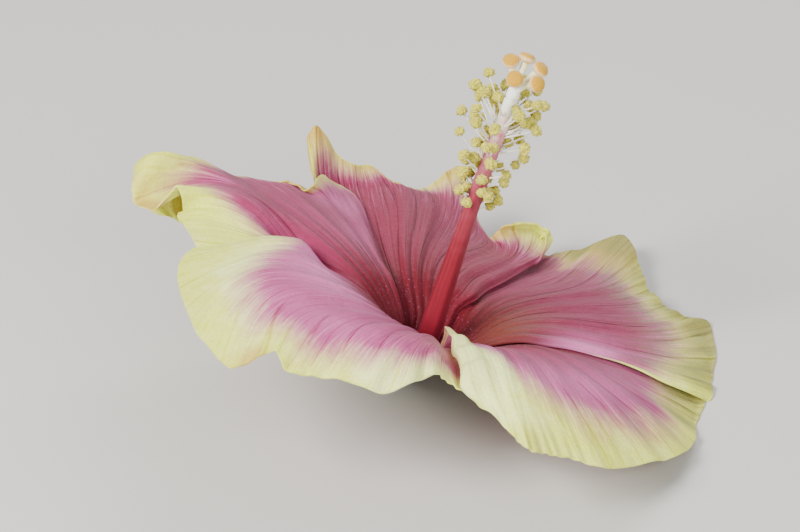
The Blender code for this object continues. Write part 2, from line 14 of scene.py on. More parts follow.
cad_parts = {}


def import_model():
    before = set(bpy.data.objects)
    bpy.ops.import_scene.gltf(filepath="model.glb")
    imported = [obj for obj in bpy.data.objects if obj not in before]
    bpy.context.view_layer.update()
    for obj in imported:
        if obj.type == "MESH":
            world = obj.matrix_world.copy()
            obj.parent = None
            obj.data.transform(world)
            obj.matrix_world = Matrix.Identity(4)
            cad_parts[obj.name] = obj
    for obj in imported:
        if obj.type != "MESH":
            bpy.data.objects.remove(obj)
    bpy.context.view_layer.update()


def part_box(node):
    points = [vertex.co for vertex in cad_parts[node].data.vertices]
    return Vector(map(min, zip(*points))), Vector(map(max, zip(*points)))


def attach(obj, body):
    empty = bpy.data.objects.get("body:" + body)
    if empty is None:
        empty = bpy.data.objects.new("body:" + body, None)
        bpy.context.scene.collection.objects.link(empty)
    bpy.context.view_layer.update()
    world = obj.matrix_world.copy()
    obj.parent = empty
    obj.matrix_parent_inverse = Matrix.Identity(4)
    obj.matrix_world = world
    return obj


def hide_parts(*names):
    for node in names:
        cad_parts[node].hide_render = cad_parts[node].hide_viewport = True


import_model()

bl_info = {
    "name": "Hibiscus Bloom",
    "version": (1, 0, 0),
    "blender": (4, 5, 0),
    "location": "View3D > Sidebar > Bloom",
    "description": "Dresses the frame of a hibiscus bloom with petals, stamens, pistil, calyx and stem",
    "category": "Add Mesh",
}

MM = 0.001

# How the bloom lies: the view that its lean was measured in, and the throat's height over the surface
VIEW_ELEVATION = 30.0
AXIS_FROM_VIEW = 70.0
AXIS_ROLL = 20.0
THROAT_HEIGHT = 19.2

# Petals: rings of the funnel as (radius, height), then how far along a vein each ring lies
CLAW = (4.5, -12.5)
THROAT_LOW = (7.0, -6.5)
THROAT_HIGH = (12.5, 0.0)
FLARE = (20.0, 6.0)
RING_PLACES = [0.0, 0.13, 0.25, 0.37, 0.70, 1.0]
# Half the angle that a petal spans: at its claw, at the throat's low ring and at its high ring
CLAW_SPAN, LOW_SPAN, HIGH_SPAN = 26, 40, 42
# The distance along over which the showing side's own curve sets in, and how far across it draws the blade
SIDE_SETS_IN, SIDE_REACHES = 0.12, 0.55
# A petal lies this far below the one that covers it, and is lowered less and less beside it, from the one
# distance on and over the other
PETAL_GAP = 1.25
COVER_ENDS, COVER_FADES = 1.2, 2.5
# Only what faces up this much covers, and a petal is lowered from these shares along and across on
FACES_UP = 0.25
LOWERED_FROM = (0.3, 0.35)
# How far a petal's one side lies outside its other in the throat
LAYER_STEP = 0.9
FINE_ROWS, FINE_COLUMNS = 49, 73
VEIN_RIDGES, RIDGE_HEIGHT = 9, 0.3
# What comes this close to the surface lies flat on it
FLAT_SPOT = 0.3

# What lies below the throat slants aside behind the bloom: its direction, its slope and the depth over which
# the slope sets in
SLANT_TOWARDS, SLANT, SLANT_START = 132.0, 0.6, 4.0

# The staminal column, as (height, radius), and its stamens
COLUMN = [(-12.6, 3.6), (-10.0, 3.6), (-7.0, 3.3), (-4.0, 3.0), (4.0, 2.85), (18.0, 2.4), (32.0, 1.95),
          (43.0, 1.85), (52.0, 1.8), (59.0, 1.75), (64.0, 1.7)]
COLUMN_BEND = -1.3
COLUMN_RINGS, COLUMN_SIDES = 90, 40
STAMENS = 54
STAMEN_LOW, STAMEN_HIGH = 34.0, 62.0
TURN_BETWEEN_STAMENS = 137.5
SEED = 7
# How far the stamens turn aside from the column's front, which stays open
STAMENS_ASIDE = 0.55

# The pistil: its top above the column, as (height, radius), and the middles of its stigma pads
STYLE_TOP = [(61.0, 0.55), (63.6, 0.6), (64.6, 1.5), (66.2, 1.6), (67.4, 1.2), (68.2, 0.0)]
STIGMA_PADS = [(-4.5, 1.5, 72.8), (-1.1, 3.0, 74.4), (-2.2, -3.0, 70.1), (2.9, 2.5, 73.1),
               (3.2, -2.5, 70.7)]
# A pad's profile from the middle of its back to the middle of its face, as (radius, height over its middle),
# and how far along it each row lies
PAD_PLACES = [0, 0.18, 0.38, 0.5, 0.62, 0.8, 1]
PAD = [(0, -0.9), (1.2, -0.95), (1.95, -0.5), (2.15, 0.0), (1.95, 0.6), (1.2, 1.15), (0, 1.35)]
# Where the branches leave the style, and their radius
BRANCH_ROOT = 65.3
BRANCH_RADIUS = 0.75

# Stem with the receptacle at its top, as (height, radius), then the way the stem lies from its cut end up, as
# (right, back, height) on the surface from the spot below the throat's middle. The solid stem has so many
# sides, and the finer receptacle so many rings
STEM_RADIUS = 1.7
STEM_SIDES = 14
RECEPTACLE = [(-17.2, 1.7), (-16.4, 1.8), (-15.6, 2.2), (-14.9, 2.8), (-14.2, 3.7), (-13.1, 3.9)]
RECEPTACLE_RINGS = 20
STEM_WAY = [(-23.0, 10.0, 1.7), (-19.4, 9.2, 1.7), (-15.6, 7.7, 1.75), (-12.6, 6.1, 2.4)]
# The stem's end faces, as (size, depth) from the middle out, a little sunk inside a flat rim
END_FACE = [(0.0, 0.12), (0.8, 0.12), (0.93, 0)]

# Calyx and epicalyx, as (radius, height) along the middle of the wall, with their lobes, the share of the
# wall below the notches, and the angle of the first lobe
CALYX = [(3.5, -14.9), (4.9, -14.3), (6.0, -12.6), (7.8, -9.6), (10.1, -6.6), (14.0, -2.9), (17.4, 0.0)]
CALYX_LOBES, CALYX_NOTCH = 5, 0.58
EPICALYX = [(2.6, -16.0), (3.6, -16.1), (5.6, -15.1), (7.3, -13.0), (8.3, -10.6)]
EPICALYX_LOBES, EPICALYX_NOTCH = 7, 0.16
FIRST_LOBE = 70.0

# Each petal: the angle of its claw, the angles of its sides where it leaves the flare, and its shape's rows.
# A row of shoulder or rim is (place across, angle, radius, height), and one of edge, the side that shows,
# is (place along, angle, radius, height). A row of rim_roll or edge_roll is (place, length, turn), where a
# margin curls under, or over if the turn is below 0.
PETALS = {
    "petal_back": dict(
        claw=106, flare=(74, 150),
        shoulder=[(-1, 68.5, 49.5, 8.5), (-0.6, 78, 50, 8.3), (-0.3, 90, 54, 9), (0, 100, 58, 11.5),
                  (0.3, 110, 58, 11), (0.55, 119, 58, 8), (0.75, 127, 57, 7), (1, 139, 46, 8)],
        rim=[(-1, 72.5, 71, 11), (-0.9, 71.2, 73.8, 10.5), (-0.78, 76, 72.5, 11),
             (-0.66, 80.3, 63.5, 10.5), (-0.54, 83, 62.5, 8), (-0.42, 87, 66, 9), (-0.32, 90, 75, 12),
             (-0.22, 93.5, 80, 17.5), (-0.13, 96.5, 78, 16.5), (-0.02, 100, 73, 12),
             (0.12, 104.3, 68.3, 12), (0.28, 109.8, 68.5, 12.8), (0.42, 114.5, 72, 14),
             (0.54, 118, 72, 13), (0.66, 123.5, 75, 16.5), (0.76, 127.5, 77, 20.5),
             (0.81, 128.2, 76.5, 18), (0.86, 127.8, 75.5, 15), (0.92, 127.5, 72.5, 12),
             (1, 128.5, 67, 9)],
        edge=[(0.37, 65, 20, 6.7), (0.45, 67.5, 27, 7.4), (0.53, 67.5, 34, 8), (0.61, 68, 42, 8.3),
              (0.7, 68.5, 49.5, 8.5), (0.78, 69, 56, 8.8), (0.86, 69.7, 62, 9.4), (0.93, 71, 67, 10.2),
              (1, 72.5, 71, 11)],
        rim_roll=[(-1, 2.5, -150), (-0.92, 4.2, -200), (-0.7, 4.2, -200), (-0.64, 1.5, -60),
                  (-0.56, 0.6, 0), (1, 0.6, 0)]),
    "petal_left": dict(
        claw=178, flare=(136, 212),
        shoulder=[(-1, 120, 53, 9.3), (-0.8, 129, 50, 9), (-0.6, 138, 52, 10.5), (-0.4, 147, 55, 11.5),
                  (-0.2, 154, 57, 11), (0, 160, 59, 12.2), (0.15, 166, 60, 12.8), (0.3, 171, 57, 11.2),
                  (0.5, 176, 56, 8.5), (0.75, 186, 47, 7.5), (1, 203, 38, 6.5)],
        rim=[(-1, 122, 66, 10), (-0.89, 126, 66, 10.5), (-0.8, 131, 62, 12.8), (-0.72, 136.5, 57, 12.3),
             (-0.64, 140, 56.5, 11.5), (-0.56, 142.5, 60, 12), (-0.47, 146, 62, 11), (-0.36, 150, 67, 10),
             (-0.26, 154.5, 71, 10), (-0.14, 159, 74.5, 12.3), (-0.03, 164, 77.5, 14.6),
             (0.04, 168.5, 80.5, 12), (0.07, 170, 82, 6), (0.1, 171, 82.4, 1.2), (0.135, 173, 78.8, 2),
             (0.17, 174, 76, 2.6), (0.21, 174.2, 74.5, 5.3), (0.26, 174, 73, 10.2),
             (0.31, 174.3, 71.5, 10.3), (0.35, 174, 70.3, 8.7), (0.4, 172.5, 69, 4),
             (0.46, 173.5, 69.5, 4), (0.52, 175, 69.5, 4), (0.64, 180, 66, 4.5), (0.78, 188, 62, 4),
             (1, 201, 55, 3)],
        edge=[(0.42, 133, 26, 7.5), (0.5, 127, 35, 8.5), (0.6, 122.5, 45, 9), (0.72, 120, 54, 9.3),
              (0.86, 120, 61, 9.8), (1, 122, 66, 10)],
        rim_roll=[(-1, 0.4, 0), (-0.46, 0.4, 0), (-0.34, 10, 80), (-0.26, 23, 165), (-0.06, 25, 165),
                  (0, 19, 150), (0.03, 12, 120), (0.06, 5.5, 75), (0.085, 1.5, 30), (0.11, 0.4, 0),
                  (1, 0.4, 0)]),
    "petal_front_left": dict(
        claw=250, flare=(196, 303),
        shoulder=[(-1, 178, 46, 10), (-0.75, 190, 44, 9.5), (-0.5, 207, 48, 9.8), (-0.25, 222, 50, 10),
                  (0, 240, 48, 10.8), (0.25, 254, 45, 12), (0.5, 266, 41, 12), (0.72, 275, 34, 11),
                  (1, 290, 31, 9)],
        rim=[(-1, 196, 64, 7), (-0.88, 201, 67.5, 4.5), (-0.76, 206, 68.5, 2), (-0.63, 213, 70, 1.5),
             (-0.5, 221, 72, 0.5), (-0.37, 228, 72.7, -1), (-0.25, 235, 74, -1.5), (-0.17, 237.5, 72, 0),
             (-0.09, 240, 67.5, 5), (0, 244, 68.5, 3.5), (0.08, 247.5, 66, 3), (0.2, 252, 62.5, 4),
             (0.32, 257, 61, 5), (0.44, 263, 60.5, 5), (0.56, 268.5, 55, 7.5), (0.68, 274, 47, 8.5),
             (0.8, 279, 43.5, 8), (1, 289, 45, 6)],
        edge=[(0.42, 187, 26, 7.7), (0.5, 183, 32, 8.3), (0.58, 173, 38, 9.8), (0.66, 176, 42, 10.8),
              (0.74, 180, 47, 10), (0.82, 186, 52, 9), (0.9, 192, 58, 8), (1, 196, 64, 7)]),
    "petal_front_right": dict(
        claw=322, flare=(286, 385),
        shoulder=[(-1, 283, 43, 10), (-0.7, 296, 40, 11.5), (-0.4, 310, 41, 11.5), (-0.1, 326, 44, 10.3),
                  (0.2, 344, 47, 8.8), (0.5, 362, 48, 6.8), (0.75, 376, 47, 6), (1, 392, 42, 6)],
        rim=[(-1, 289.5, 48.5, 4.5), (-0.9, 293, 53, 4), (-0.78, 295, 60, 3.5), (-0.66, 297, 65, 3.5),
             (-0.54, 301, 66, 3.5), (-0.38, 308, 66.5, 3), (-0.22, 314, 69, 2.5), (-0.04, 327, 69, 2),
             (0.12, 338, 70, 1.5), (0.28, 349, 71, 1.5), (0.38, 357, 70.3, 1.5), (0.5, 366, 72, 2.5),
             (0.62, 372, 73, 3.2), (0.8, 385, 70, 6), (1, 396, 64, 5.5)],
        edge=[(0.2, 297, 8.4, 2.2), (0.25, 289, 9.6, 6.4), (0.31, 288, 14.8, 7.6), (0.37, 287, 21, 9.4),
              (0.45, 285, 28, 10.4), (0.53, 286, 34, 10.5), (0.6, 285, 39, 10.7), (0.68, 285, 43.5, 10),
              (0.77, 286, 46, 8.5), (0.86, 288, 47.5, 6.5), (1, 290.5, 48.5, 4.5)],
        edge_roll=[(0, 0.4, 0), (0.3, 0.4, 0), (0.38, 1.5, 60), (0.47, 3.2, 120), (0.6, 3.6, 130),
                   (0.8, 3, 110), (1, 2, 60)]),
    "petal_right": dict(
        claw=34, flare=(-1, 87),
        shoulder=[(-1, 10, 48, 8), (-0.75, 20, 53, 7), (-0.5, 30, 57, 9), (-0.2, 42, 58, 10.5),
                  (0.1, 52, 57, 10), (0.4, 63, 55, 6.8), (0.7, 73, 52, 5.5), (1, 84, 46, 5)],
        rim=[(-1, 8, 74, 5), (-0.9, 12, 74, 6.5), (-0.8, 17, 75.5, 7), (-0.7, 22.5, 78.5, 8.5),
             (-0.6, 29, 81.5, 10), (-0.51, 34, 83, 12), (-0.43, 35, 78, 12), (-0.34, 37, 74, 12),
             (-0.22, 42, 74, 12), (-0.1, 48, 77, 11.5), (0.04, 54, 82, 13.5), (0.16, 59, 86.5, 16),
             (0.28, 62.5, 87, 16), (0.4, 65, 80, 12), (0.55, 68.5, 73.5, 9), (0.75, 74, 67, 6),
             (1, 82, 60, 4)],
        edge=[(0.37, -1, 21, 6.9), (0.45, 4, 27, 7.6), (0.53, 8.5, 34, 8), (0.62, 10, 43, 8),
              (0.7, 10, 48, 8), (0.78, 8, 54, 8), (0.86, 6, 60, 7.6), (0.93, 6, 66, 7), (1, 8, 74, 5)]),
}
# Each petal's showing side lies over the far side of the next
COVERS = [("petal_front_left", "petal_left"), ("petal_left", "petal_back"), ("petal_back", "petal_right"),
          ("petal_right", "petal_front_right"), ("petal_front_right", "petal_front_left")]

# Where the colours of each petal's showing face change, as rows of (place across, place along): the crimson
# of the throat ends at the first, and the cream of the margin begins at the second
THROAT_ENDS = {
    "petal_back": [(-1, 0.36), (-0.5, 0.4), (0, 0.42), (0.5, 0.4), (1, 0.38)],
    "petal_left": [(-1, 0.34), (-0.4, 0.4), (0.2, 0.38), (1, 0.34)],
    "petal_front_left": [(-1, 0.42), (-0.5, 0.4), (-0.2, 0.32), (0.1, 0.24), (1, 0.2)],
    # The front right petal's crimson reaches further out on its far side: there it is partly painted shadow
    # of the right petal's margin, which lies over it
    "petal_front_right": [(-1, 0.14), (-0.6, 0.2), (-0.3, 0.35), (0, 0.42), (0.3, 0.5), (0.6, 0.58),
                          (1, 0.6)],
    "petal_right": [(-1, 0.3), (-0.5, 0.31), (0.1, 0.34), (0.5, 0.4), (1, 0.4)],
}
CREAM_BEGINS = {
    "petal_back": [(-1, 0.89), (-0.75, 0.92), (-0.55, 1.02), (-0.4, 1.0), (-0.2, 0.9), (0, 0.97), (0.2, 1.01),
                   (0.35, 0.99), (0.45, 0.95), (0.55, 0.98), (0.65, 0.97), (0.74, 0.95), (0.84, 0.85),
                   (1, 0.74)],
    "petal_left": [(-1, 0.88), (-0.97, 0.97), (-0.75, 0.97), (-0.62, 0.94), (-0.5, 0.9), (-0.3, 0.92),
                   (-0.1, 0.93), (0.1, 0.88), (0.25, 0.8), (0.4, 0.68), (0.6, 0.6), (1, 0.6)],
    "petal_front_left": [(-1, 0.64), (-0.8, 0.7), (-0.6, 0.74), (-0.4, 0.79), (-0.2, 0.85), (0, 0.89),
                         (0.2, 0.88), (0.4, 0.84), (0.6, 0.88), (1, 0.9)],
    "petal_front_right": [(-1, 0.05), (-0.86, 0.2), (-0.76, 0.5), (-0.64, 0.68), (-0.5, 0.78), (-0.35, 0.82),
                          (-0.2, 0.85), (0, 0.89), (0.2, 0.9), (0.5, 0.86), (0.8, 0.84), (1, 0.86)],
    "petal_right": [(-1, 0.66), (-0.97, 0.85), (-0.8, 0.86), (-0.5, 0.88), (-0.2, 0.88), (0.1, 0.88),
                    (0.4, 0.9), (0.6, 1.04), (1, 1.1)],
}
# Soft patches of a second tint, some of them painted shade and painted highlight, as (kind, place across,
# place along, reach across, reach along, strength)
TINTS = ("tan", "lilac", "painted_throat_shade", "painted_cream_shade", "ivory_and_highlight", "dusty", "salmon")
PATCHES = {
    "petal_back": [("tan", 0.9, 0.95, 0.1, 0.3, 1.0), ("tan", 0.78, 1.03, 0.12, 0.1, 0.9),
                   ("tan", -0.62, 1.02, 0.1, 0.1, 0.7), ("tan", 0.3, 1.0, 0.3, 0.06, 0.6),
                   ("tan", -0.18, 1.0, 0.14, 0.1, 0.7)],
    # The tan patch at the left petal's lip, at -0.6 across, is partly painted shade of the hollow where the
    # margin curls over
    "petal_left": [("tan", -0.6, 1.0, 0.16, 0.13, 0.8), ("lilac", -0.85, 0.8, 0.3, 0.2, 0.4),
                   ("tan", 0.14, 1.0, 0.1, 0.06, 0.8), ("lilac", -0.75, 0.5, 0.3, 0.15, 0.25)],
    "petal_front_left": [("lilac", -0.6, 0.5, 0.5, 0.16, 0.8), ("lilac", 0, 0.72, 0.4, 0.1, 0.35),
                         ("salmon", 0.9, 0.48, 0.35, 0.24, 0.9), ("tan", -0.17, 1.0, 0.08, 0.1, 0.5),
                         ("ivory_and_highlight", -0.4, 0.75, 0.4, 0.12, 0.8), ("ivory_and_highlight", 0.5, 0.9, 0.3, 0.15, 0.7)],
    # On the front right petal the ivory patch on its left side is a painted highlight where it faces the
    # light, and the khaki patches are painted shade on its cream
    "petal_front_right": [("lilac", -0.1, 0.72, 0.6, 0.1, 0.5), ("ivory_and_highlight", -0.9, 0.65, 0.3, 0.3, 0.8),
                          ("lilac", -0.8, 0.5, 0.14, 0.3, 0.7), ("salmon", -0.98, 0.2, 0.12, 0.09, 0.9),
                          ("painted_cream_shade", 0.75, 0.95, 0.55, 0.22, 0.8), ("painted_cream_shade", -0.6, 0.98, 0.25, 0.08, 0.35)],
    # On the right petal the khaki patches are painted shade on its cream, and the olive patch is painted
    # shade by its throat
    "petal_right": [("painted_throat_shade", -0.55, 0.36, 0.75, 0.12, 0.8), ("dusty", -0.3, 0.86, 0.8, 0.15, 0.8),
                    ("tan", 0.24, 0.97, 0.25, 0.16, 1.0), ("lilac", -0.95, 0.58, 0.25, 0.12, 0.9),
                    ("painted_cream_shade", -0.5, 1.0, 0.6, 0.16, 0.95), ("painted_cream_shade", 0.3, 0.98, 0.5, 0.16, 0.9)],
}
# From this place along, and over this distance, a petal turns from rose towards a bluer lilac, and how far
BLUER = (0.25, 0.35)
BLUENESS = {"petal_back": 0.1, "petal_left": 0.35, "petal_front_left": 0.95, "petal_front_right": 0.5,
            "petal_right": 0.2}

# Each petal's grid is read this many times finer than the solid's, along and across
REFINED = (3, 2)
# Points across a curled margin: of a rim, and of a showing side
ROLL_POINTS = (12, 9)
# A curl leaves the margin's small waves behind: it turns to the mean way of this many lines to each side, and
# has turned there before its end, this many times sooner
EVEN_REACH = 7
EVEN_SOONER = 1.5
# How far a showing side turns down on the petal below it
MARGIN_DROP = 0.8
# Height of the small waves along the curled side by the column, and of those of the outermost rim as a share
# of the ruffles
SIDE_FRILL = 0.55
RIM_FRILL = 0.8
# The ruffles' waves, one on another, reach this many times as far as one of them alone
RUFFLE_REACH = 1.6
# The relief's main veins across a petal
MAIN_VEINS = 11
# Stamens close to the column that the solid leaves out
MORE_STAMENS = 34
# Points along a filament, and its radius at its root and its tip as a share of its thickness
FILAMENT_POINTS = 9
FILAMENT_TAPER = (0.5, 0.32)
# Points along a style branch
BRANCH_POINTS = 14
# Points that lie closer than this, in metres, are one
MERGE_REACH = 1e-7
# Faces that meet at less than this angle are shaded as one surface
SMOOTH_ANGLE = 60.0
# The way to the bloom's open front, and the share by which each stigma pad turns towards it
OPEN_FRONT = (0.0, -0.94, 0.34)
PAD_FACES = (1.2, 0.3, 1.2, 0.8, 0.9)

# The picture: its width, what a pixel spans at the throat, and where the throat shows, right of and above the
# picture's middle, in millimetres
PICTURE_WIDTH = 800
SENSOR_WIDTH = 36.0
MM_PER_PIXEL = 0.25
CAMERA_DISTANCE = 700.0
THROAT_IN_VIEW = (7.5, -16.75)

# The stage: the floor's side in metres, each light as (name, place, watts, size, tint), and what they aim at
FLOOR_SIZE = 6.0
LIT_PLACE = (0, 0, 0.03)
LIGHTS = [("key", (-0.6, -0.5, 0.7), 19.0, 0.4, (1.0, 0.98, 0.95)),
          ("fill", (0.35, -0.85, 0.5), 9.0, 0.6, (0.96, 0.98, 1.0)),
          ("back", (0.25, 0.7, 0.7), 6.0, 0.5, (1.0, 1.0, 1.0))]
SKY_STRENGTH = 0.5


def view_directions():
    """The picture's right, its up and the way back to its camera."""
    rise = np.radians(VIEW_ELEVATION)
    return (np.array([1.0, 0.0, 0.0]), np.array([0.0, np.sin(rise), np.cos(rise)]),
            np.array([0.0, -np.cos(rise), np.sin(rise)]))


def lean():
    """The three directions of the leaned bloom, as rows: its X, its Y and its axis."""
    right, up, back = view_directions()
    away, roll = np.radians([AXIS_FROM_VIEW, AXIS_ROLL])
    axis = np.sin(away) * (np.sin(roll) * right + np.cos(roll) * up) + np.cos(away) * back
    across = np.cos(roll) * right - np.sin(roll) * up
    return np.stack([across, np.cross(axis, across), axis])


LEAN = lean()


def height_over_surface(points):
    return THROAT_HEIGHT + points @ LEAN[:, 2]


def polar(angle, radius, height):
    """Points given by an angle about the axis, a distance from it and a height along it."""
    angle = np.radians(angle)
    return np.stack([radius * np.cos(angle), radius * np.sin(angle), height + 0 * angle], -1)


def slant(points):
    """Draws what lies below the throat aside, the further the deeper it lies."""
    depth = np.maximum(-points[..., 2], 0.0)
    start = np.minimum(depth, SLANT_START)
    aside = SLANT * (depth - start + start ** 2 / (2 * SLANT_START))
    return points + aside[..., None] * polar(SLANT_TOWARDS, 1.0, 0.0)


def on_surface(points, reach):
    """Lays what comes within reach of the surface, or below it, flat against it."""
    height = height_over_surface(points)
    return points + np.where(height < reach, -height, 0)[..., None] * LEAN[:, 2]


def ease(x):
    """From 0 to 1 with level ends."""
    x = np.clip(x, 0.0, 1.0)
    return x * x * (3 - 2 * x)


def spline(knots, values, places):
    """The natural cubic through the values (n, d) at the knots, read at the places."""
    knots, values, places = np.array(knots, float), np.array(values, float), np.array(places, float)
    count = len(knots)
    step = np.diff(knots)
    slope = np.diff(values, axis=0) / step[:, None]
    matrix = np.eye(count)
    target = np.zeros_like(values)
    for i in range(1, count - 1):
        matrix[i, i - 1:i + 2] = step[i - 1], 2 * (step[i - 1] + step[i]), step[i]
        target[i] = 3 * (slope[i] - slope[i - 1])
    bend = np.linalg.solve(matrix, target)
    i = np.clip(np.searchsorted(knots, places) - 1, 0, count - 2)
    x = (places - knots[i])[:, None]
    width = step[i][:, None]
    first = slope[i] - width * (2 * bend[i] + bend[i + 1]) / 3
    return values[i] + x * (first + x * (bend[i] + x * (bend[i + 1] - bend[i]) / (3 * width)))


def through(rows, places):
    """A curve through rows of (place, angle, radius, height)."""
    place, angle, radius, height = np.array(rows, float).T
    return spline(place, polar(angle, radius, height), places)


def petal_surface(shape):
    """The middle of one petal's blade as a grid: along the veins, then across them."""
    t = np.linspace(-1, 1, FINE_COLUMNS)
    s = np.linspace(0, 1, FINE_ROWS)
    start, end = shape["flare"]
    flare_angle = start + (end - start) * (t + 1) / 2
    throat_angle = 0.6 * (shape["claw"] + HIGH_SPAN * t) + 0.4 * flare_angle
    layer = LAYER_STEP * t
    rings = np.stack([
        polar(shape["claw"] + CLAW_SPAN * t, CLAW[0], CLAW[1]),
        polar(shape["claw"] + LOW_SPAN * t, THROAT_LOW[0] + layer, THROAT_LOW[1]),
        polar(throat_angle, THROAT_HIGH[0] + 1.1 * layer, THROAT_HIGH[1] - 0.5 * layer),
        polar(flare_angle, FLARE[0] + 0.3 * layer, FLARE[1] - layer),
        through(shape["shoulder"], t),
        through(shape["rim"], t),
    ])
    grid = np.stack([spline(RING_PLACES, rings[:, j], s) for j in range(FINE_COLUMNS)], 1)
    # The showing side follows its own curve and draws the blade beside it along
    edge = np.array(shape["edge"], float)
    first = edge[0, 0]
    root = spline(RING_PLACES, rings[:, 0], [0.0, first - 0.09])
    places = np.concatenate([[0.0, first - 0.09], edge[:, 0]])
    wanted = spline(places, np.concatenate([root, polar(*edge[:, 1:].T)]), s)
    shift = (wanted - grid[:, 0]) * ease((s - first + SIDE_SETS_IN) / SIDE_SETS_IN)[:, None]
    grid = grid + shift[:, None] * (1 - ease((t + 1) / SIDE_REACHES))[None, :, None]
    # Shallow ridges fan out along the veins
    ridge = RIDGE_HEIGHT * np.cos(np.pi * VEIN_RIDGES * t)[None] * np.sin(np.pi * ease(s))[:, None]
    return grid + ridge[..., None] * upper_normals(grid)


def upper_normals(grid):
    """Unit directions out of a petal's showing face."""
    normal = np.cross(np.gradient(grid, axis=0), np.gradient(grid, axis=1))
    return normal / np.linalg.norm(normal, axis=-1, keepdims=True)


def spread(values, reach, take):
    """Each value replaced by the take (np.max or np.mean) of those within reach, along both directions."""
    for axis in (0, 1):
        pad = [(reach, reach) if i == axis else (0, 0) for i in (0, 1)]
        padded = np.pad(values, pad, mode="edge")
        window = [np.take(padded, range(i, i + values.shape[axis]), axis) for i in range(2 * reach + 1)]
        values = take(window, axis=0)
    return values


def roll_depth(shape, s):
    """How far below the blade the showing side's rolled margin reaches."""
    rows = np.array(shape.get("edge_roll", [(0, 0.4, 0), (1, 0.4, 0)]), float)
    length = np.interp(s, rows[:, 0], rows[:, 1])
    turn = np.radians(np.maximum(np.interp(s, rows[:, 0], rows[:, 2]), 1e-3))
    return length / turn * (1 - np.cos(turn))


def settle(cover, cover_shape, under):
    """Lowers the far side of one petal until it lies clear beneath the petal that covers it."""
    rows, columns = under.shape[:2]
    s = np.linspace(0, 1, rows)
    t = np.linspace(-1, 1, columns)
    normal = upper_normals(cover)
    margin = roll_depth(cover_shape, s)[:, None] * (1 - ease((t + 1) / 0.2))[None]
    tree = KDTree(rows * columns)
    for i in range(rows):
        for j in range(columns):
            if normal[i, j, 2] > FACES_UP:
                tree.insert((cover[i, j, 0], cover[i, j, 1], 0.0), i * columns + j)
    tree.balance()
    need = np.zeros((rows, columns))
    for i in range(int(LOWERED_FROM[0] * rows), rows):
        for j in range(int(LOWERED_FROM[1] * columns), columns):
            _, index, beside = tree.find((under[i, j, 0], under[i, j, 1], 0.0))
            a, b = divmod(index, columns)
            offset = under[i, j] - cover[a, b]
            up = normal[a, b]
            level = -(up[0] * offset[0] + up[1] * offset[1]) / up[2]
            clear = PETAL_GAP / up[2] + margin[a, b]
            need[i, j] = (offset[2] - level + clear) * (1 - ease((beside - COVER_ENDS) / COVER_FADES))
    drop = spread(np.maximum(need, 0), 2, np.max)
    for _ in range(2):
        drop = spread(drop, 2, np.mean)
    under = under.copy()
    under[..., 2] -= drop
    return under


def evened(directions):
    """Unit directions along a margin, each turned to the mean of those beside it."""
    padded = np.pad(directions, [(EVEN_REACH, EVEN_REACH), (0, 0)], mode="edge")
    mean = np.mean([padded[i:i + len(directions)] for i in range(2 * EVEN_REACH + 1)], axis=0)
    return mean / np.linalg.norm(mean, axis=1, keepdims=True)


def roll_out(grid, rows, steps):
    """Adds rows past the grid's last one, which curl under, or over where the turn is below 0."""
    place, length, turn = np.array(rows, float).T
    places = np.linspace(place[0], place[-1], grid.shape[1])
    length = np.interp(places, place, length)
    turn = np.radians(np.interp(places, place, turn))
    turn = np.where(np.abs(turn) < 1e-3, 1e-3, turn)
    outward = grid[-1] - grid[-3]
    outward /= np.linalg.norm(outward, axis=1, keepdims=True)
    under = -upper_normals(grid)[-1]
    radius = length / turn
    even_outward, even_under = evened(outward), evened(under)
    extra = []
    for step in range(1, steps + 1):
        bent = turn * step / steps
        share = ease(EVEN_SOONER * step / steps)
        outward_here = outward + share * (even_outward - outward)
        under_here = under + share * (even_under - under)
        along = (radius * np.sin(bent))[:, None] * outward_here
        extra.append(grid[-1] + along + (radius * (1 - np.cos(bent)))[:, None] * under_here)
    return np.concatenate([grid, np.stack(extra)])


def roll_margins(grid, shape, steps):
    """The rim is the grid's last row, and the showing side is its first column."""
    if "rim_roll" in shape:
        grid = roll_out(grid, shape["rim_roll"], steps[0])
    if "edge_roll" in shape:
        sideways = grid.transpose(1, 0, 2)[::-1]
        grid = roll_out(sideways, shape["edge_roll"], steps[1])[::-1].transpose(1, 0, 2)
    return grid


def rest_on_surface(grid, thickness):
    """Where a blade would reach below the surface, it lies along it."""
    half = thickness / 2 * np.abs(upper_normals(grid) @ LEAN[:, 2])
    return grid + np.maximum(half - height_over_surface(grid), 0)[..., None] * LEAN[:, 2]


def petal_grids():
    """Every petal's blade, its far side settled beneath its cover."""
    grids = {name: petal_surface(shape) for name, shape in PETALS.items()}
    for _ in range(3):
        for cover, under in COVERS:
            grids[under] = settle(grids[cover], PETALS[cover], grids[under])
    return grids


def column_middle(height):
    """The column's slight bend: the middle of its tube at a height."""
    return np.array([COLUMN_BEND * ease((height + 20.0) / 65.0), 0.0, height])


def turned_rings(profile, sides, middle, start=0.0):
    """Rings about a middle line, one for each row of (height, radius)."""
    angle = np.linspace(0, 2 * np.pi, sides, endpoint=False) + np.radians(start)
    circle = np.stack([np.cos(angle), np.sin(angle), 0 * angle], 1)
    return [slant(middle(height) + radius * circle) for height, radius in profile]


def rings_along(path, widths, depths, sides):
    """Rings across a path, each with its own width (level) and depth."""
    tangent = np.gradient(path, axis=0)
    tangent /= np.linalg.norm(tangent, axis=1, keepdims=True)
    angle = np.linspace(0, 2 * np.pi, sides, endpoint=False)
    rings = []
    for point, along, width, depth in zip(path, tangent, widths, depths):
        level = np.cross(along, [0.0, 0.0, 1.0])
        level /= np.linalg.norm(level)
        other = np.cross(along, level)
        rings.append(point + width * np.outer(np.cos(angle), level) + depth * np.outer(np.sin(angle), other))
    return rings


def upright(height):
    """The middle of what stands straight up, at a height."""
    return np.array([0.0, 0.0, height])


